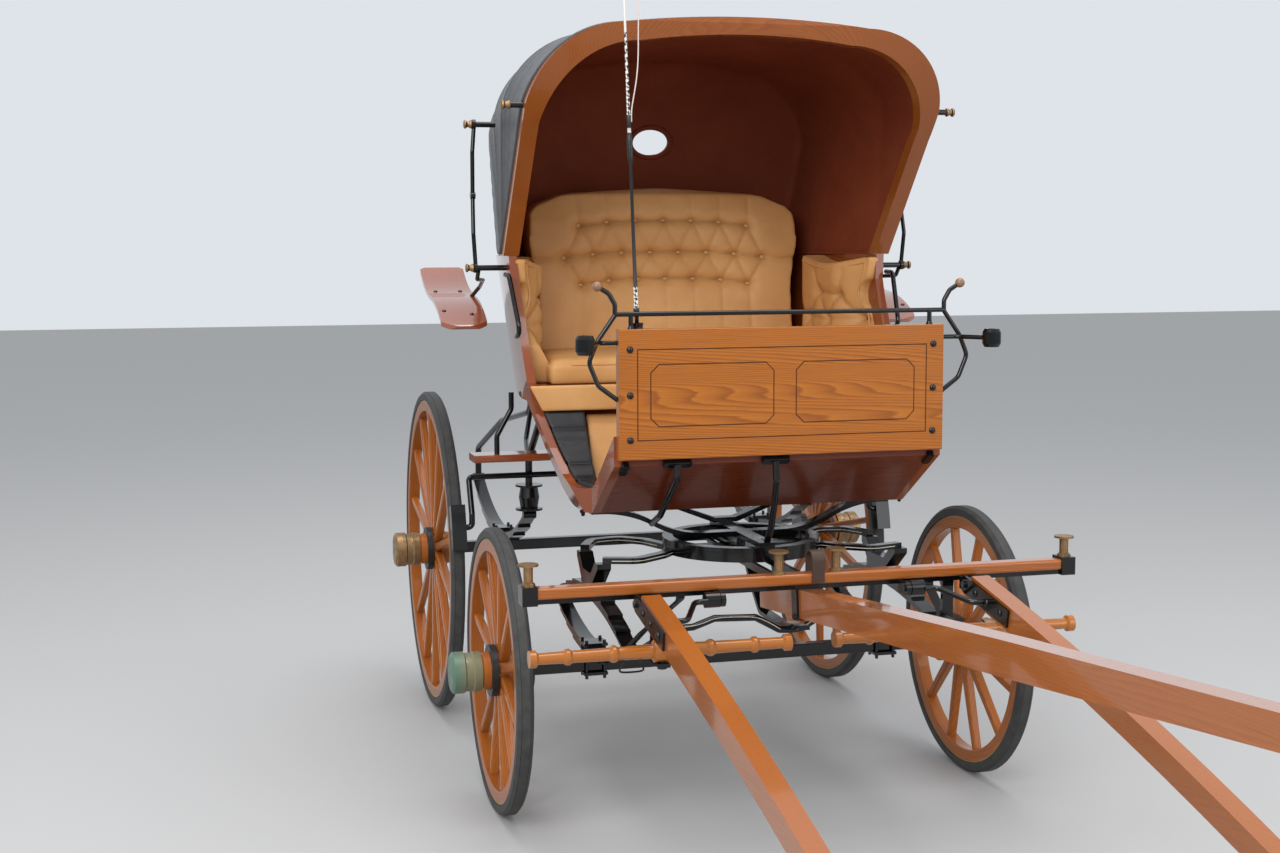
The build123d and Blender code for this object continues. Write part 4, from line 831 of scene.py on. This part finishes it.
# The rim's middle line seen from the front, and its front edge seen from the side
arch_side = arc_points((0.594, 1.896), (0.533, 2.020), (0.339, 2.106), 8)
arch_top = arc_points((0.339, 2.106), (0, 2.126), (-0.339, 2.106), 12)
arch_foot = [(0.592, 1.500), (0.592, 1.60), (0.593, 1.72), (0.593, 1.82)]
half_arch = [Vector(spot) for spot in arch_foot] + arch_side
arch_line = half_arch + arch_top[1:-1] + [Vector((-spot.x, spot.y)) for spot in reversed(half_arch)]
rim_foot, rim_bend, rim_top = (0.417, 1.435), (0.093, 1.818), (-0.076, 2.110)
rim_curve = arc_points(rim_bend, (-0.020, 1.968), rim_top, 10)


def rim_front(level):
    """The place of the rim's front edge at a level: straight at first, then curved."""
    if level < rim_bend[1]:
        return rim_foot[0] - (level - rim_foot[1]) * 0.846
    for low_end, high_end in zip(rim_curve, rim_curve[1:]):
        if level < high_end.y:
            share = (level - low_end.y) / (high_end.y - low_end.y)
            return low_end.x + share * (high_end.x - low_end.x)
    return rim_top[0]


rim_back = [place(spot.x * 1.003, rim_front(spot.y) + 0.046, spot.y + 0.002) for spot in arch_line]
thread("hood_edge_piping", [rim_back], 0.0045, hood_leather, "carriage")
window_level, window_half_width, window_half_height = 1.854, 0.068, 0.048
window_line = []
for step in range(24):
    turned_by = 2 * math.pi * step / 24
    window_line.append((window_half_width * math.cos(turned_by),
                        window_level + window_half_height * math.sin(turned_by)))
inside_meet = surface(hood_lining)
ring_in = [inside_meet(place(x, 0.6, z), (0, 1, 0)) for x, z in window_line]
ring_out = [meet(place(x, 1.3, z), (0, -1, 0)) for x, z in window_line]
thread("window_ring_inside", [ring_in], 0.008, lining, "carriage", cyclic=True)
thread("window_ring_outside", [ring_out], 0.008, hood_leather, "carriage", cyclic=True)

hem_line = []
for step in range(-16, 53):
    turned_by = math.pi * step / 36
    spot = inside_meet(place(0, 0.6, hem + 0.014), (math.cos(turned_by), math.sin(turned_by), 0))
    if spot:
        hem_line.append(Vector((spot.x, spot.y, hem + 0.002)))
thread("hood_hem_binding", [hem_line], 0.0055, lining, "carriage")

# Knobs of the hood bolts, ball ends of the dash rail and bolt heads
knob = [(0.0085, -0.023), (0.0119, -0.022), (0.0119, -0.019), (0.0079, -0.011), (0.0085, -0.008),
        (0.012, -0.005), (0.0125, -0.002), (0.0105, 0.0005), (0, 0.001)]
knob_spots = []
for side in (-1, 1):
    for x, y, z in ((0.690, 0.43, 1.869), (0.690, 0.43, 1.461), (0.652, 0.056, 1.896)):
        knob_spots.append((place(side * x, y, z), (side, 0, 0)))
studs("hood_bolt_knobs", knob_spots, knob, old_brass, "carriage", 24)
ball_radius = 0.0128
half_turn = [math.pi * step / 10 for step in range(11)]
ball = [(ball_radius * math.sin(turned_by), -ball_radius * math.cos(turned_by)) for turned_by in half_turn]
ball_spots = [(place(side * 0.491, -0.338, 1.423), (side, 0, 1)) for side in (-1, 1)]
studs("dash_rail_balls", ball_spots, ball, ball_wood, "carriage", 20)
bolt_head = [(0.0088, -0.001), (0.0088, 0.0015), (0.0066, 0.0042), (0.003, 0.0056), (0, 0.0058)]
dash_bolts = [(place(side * 0.411, -0.352, z), (0, -1, 0)) for side in (-1, 1) for z in (1.265, 1.150, 1.037)]
studs("dash_bolts", dash_bolts, bolt_head, black_iron, "carriage", 16)
meet_board = surface(nodes["splash_boards"])
board_spots = []
for side in (-1, 1):
    for x, y in ((0.653, 0.555), (0.733, 0.575), (0.649, 0.79), (0.725, 0.79)):
        board_spots.append((meet_board(place(side * x, y, 1.6), (0, 0, -1)), (0, -0.45, 1)))
small_head = [(radius * 0.75, height * 0.6) for radius, height in bolt_head]
studs("splash_board_bolts", board_spots, small_head, black_iron, "carriage", 14)
shaft_slope = math.radians(10)
shaft_across, shaft_root_y, shaft_root_z, cheek_face = 0.43, -0.578, 0.668, 0.0295
for hand, side in (("left", 1), ("right", -1)):
    spots = []
    for reach in (0.062, 0.126, 0.196):
        y = shaft_root_y - reach * math.cos(shaft_slope)
        z = shaft_root_z - reach * math.sin(shaft_slope)
        for face in (-1, 1):
            spots.append((place(side * shaft_across + face * cheek_face, y, z), (face, 0, 0)))
    studs(f"cheek_bolts_{hand}", spots, bolt_head, black_iron, f"shaft_{hand}", 14)

# Dark lines in the grooves of the dash
line_depth, corner_share = 0.0016, 0.003
dash_low, dash_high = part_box("dash_board")
frame_edge, dash_middle = 0.047, (dash_low.z + dash_high.z) / 2 - 0.001
across_half = dash_high.x - frame_edge - 0.0015
up_half = (dash_high.z - dash_low.z) / 2 - frame_edge - 0.0035


def square_cornered(corners, corner):
    """Points close together round the corners of a line, so that the curve keeps them."""
    points = []
    for before, spot, after in zip(corners[-1:] + corners, corners, corners[1:] + corners[:1]):
        for other in (before, spot, after):
            points.append(spot + (other - spot).normalized() * corner if other != spot else spot)
    return points


def on_dash(corners):
    """A line drawn on the face of the dash."""
    points = square_cornered([Vector(spot) for spot in corners], corner_share)
    return [Vector((x, dash_low.y + line_depth, z)) for x, z in points]


lines = [on_dash([(-across_half, dash_middle - up_half), (across_half, dash_middle - up_half),
                  (across_half, dash_middle + up_half), (-across_half, dash_middle + up_half)])]
oct_near, oct_far, oct_cut = 0.0305, 0.3575, 0.0215
oct_low, oct_high = dash_low.z + 0.0835, dash_low.z + 0.2405
octagon = [(oct_near + oct_cut, oct_low), (oct_far - oct_cut, oct_low), (oct_far, oct_low + oct_cut),
           (oct_far, oct_high - oct_cut), (oct_far - oct_cut, oct_high), (oct_near + oct_cut, oct_high),
           (oct_near, oct_high - oct_cut), (oct_near, oct_low + oct_cut)]
for side in (-1, 1):
    lines.append(on_dash([(side * x, z) for x, z in octagon]))
thread("dash_lines", lines, 0.0011, line_brown, "carriage", cyclic=True)

# Cream lines on the irons
meet = surface(nodes["fore_irons"])
smile = [(0.390, 0.560), (0.33, 0.5605), (0.295, 0.562), (0.262, 0.563), (0.235, 0.570), (0.205, 0.581),
         (0.15, 0.580), (0.095, 0.577), (0.06, 0.560), (0.030, 0.541)]
runs = []
for side in (-1, 1):
    run = [meet(place(side * x, -0.55, z + 0.003), (0, 1, 0)) for x, z in smile]
    runs.append([spot for spot in run if spot and spot.y < axle_y - 0.38])
meet = surface(nodes["lower_bed"])
bed_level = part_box("lower_bed")[1].z - 0.018
for side in (-1, 1):
    for first, last, start in ((0.215, 0.405, -0.40), (0.225, 0.405, 0.02)):
        across_bed = [side * (first + (last - first) * step / 12) for step in range(13)]
        run = [meet(place(x, start, bed_level), (0, 1, 0)) for x in across_bed]
        runs.append([spot for spot in run if spot and abs(spot.y - axle_y) < 0.3])
thread("cream_lines", [run for run in runs if len(run) > 3], 0.0011, cream, "forecarriage")

# Nuts under the sides of the body, and stirrups under the trees
meet = surface(nodes["side_panels"])
nut = [(0.009, -0.002), (0.009, 0.004), (0.0055, 0.006), (0.0055, 0.012), (0.003, 0.014), (0, 0.014)]
nut_spots = []
for side in (-1, 1):
    for y in (-0.165, -0.105, -0.035):
        spot = meet(place(side * 0.4595, y, 0.7), (0, 0, 1))
        if spot:
            nut_spots.append((spot, (0, 0, -1)))
studs("body_nuts", nut_spots, nut, black_iron, "carriage", 6)

stirrup = [(0.485, 0.530), (0.490, 0.512), (0.496, 0.504), (0.492, 0.498), (0.465, 0.497), (0.438, 0.498),
           (0.434, 0.504), (0.440, 0.512), (0.445, 0.530)]
tree_y = -0.556
for hand, side in (("left", 1), ("right", -1)):
    run = [place(side * x, tree_y, z) for x, z in stirrup]
    thread(f"tree_stirrup_{hand}", [run], 0.0025, black_iron, f"swingle_tree_{hand}")

# Stage and lamps
floor_mesh = bpy.data.meshes.new("floor")
floor_form = bmesh.new()
bmesh.ops.create_grid(floor_form, x_segments=1, y_segments=1, size=30)
floor_form.to_mesh(floor_mesh)
floor = bpy.data.objects.new("floor", floor_mesh)
bpy.context.collection.objects.link(floor)
floor_material, floor_shader = new_material("pale floor")[:2]
floor_shader.inputs["Base Color"].default_value = (0.41, 0.405, 0.40, 1)
floor_shader.inputs["Roughness"].default_value = 0.7
floor_mesh.materials.append(floor_material)

world = bpy.data.worlds.new("pale room")
bpy.context.scene.world = world
world.use_nodes = True
background = world.node_tree.nodes["Background"]
background.inputs["Color"].default_value = (0.86, 0.9, 0.95, 1)
background.inputs["Strength"].default_value = 0.86

lamps = [("key", (-4.0, -4.5, 4.5), 4.0, 330), ("fill", (4.5, -4.5, 3.0), 4.0, 120),
         ("top", (0.0, 0.5, 6.5), 5.0, 300)]
lit_spot = Vector((0, 0.9, 0.9))
for name, spot, size, power in lamps:
    lamp_data = bpy.data.lights.new(name, "AREA")
    lamp_data.size = size
    lamp_data.energy = power
    lamp = bpy.data.objects.new(name, lamp_data)
    bpy.context.collection.objects.link(lamp)
    lamp.location = spot
    lamp.rotation_euler = (lit_spot - Vector(spot)).to_track_quat("-Z", "Y").to_euler()
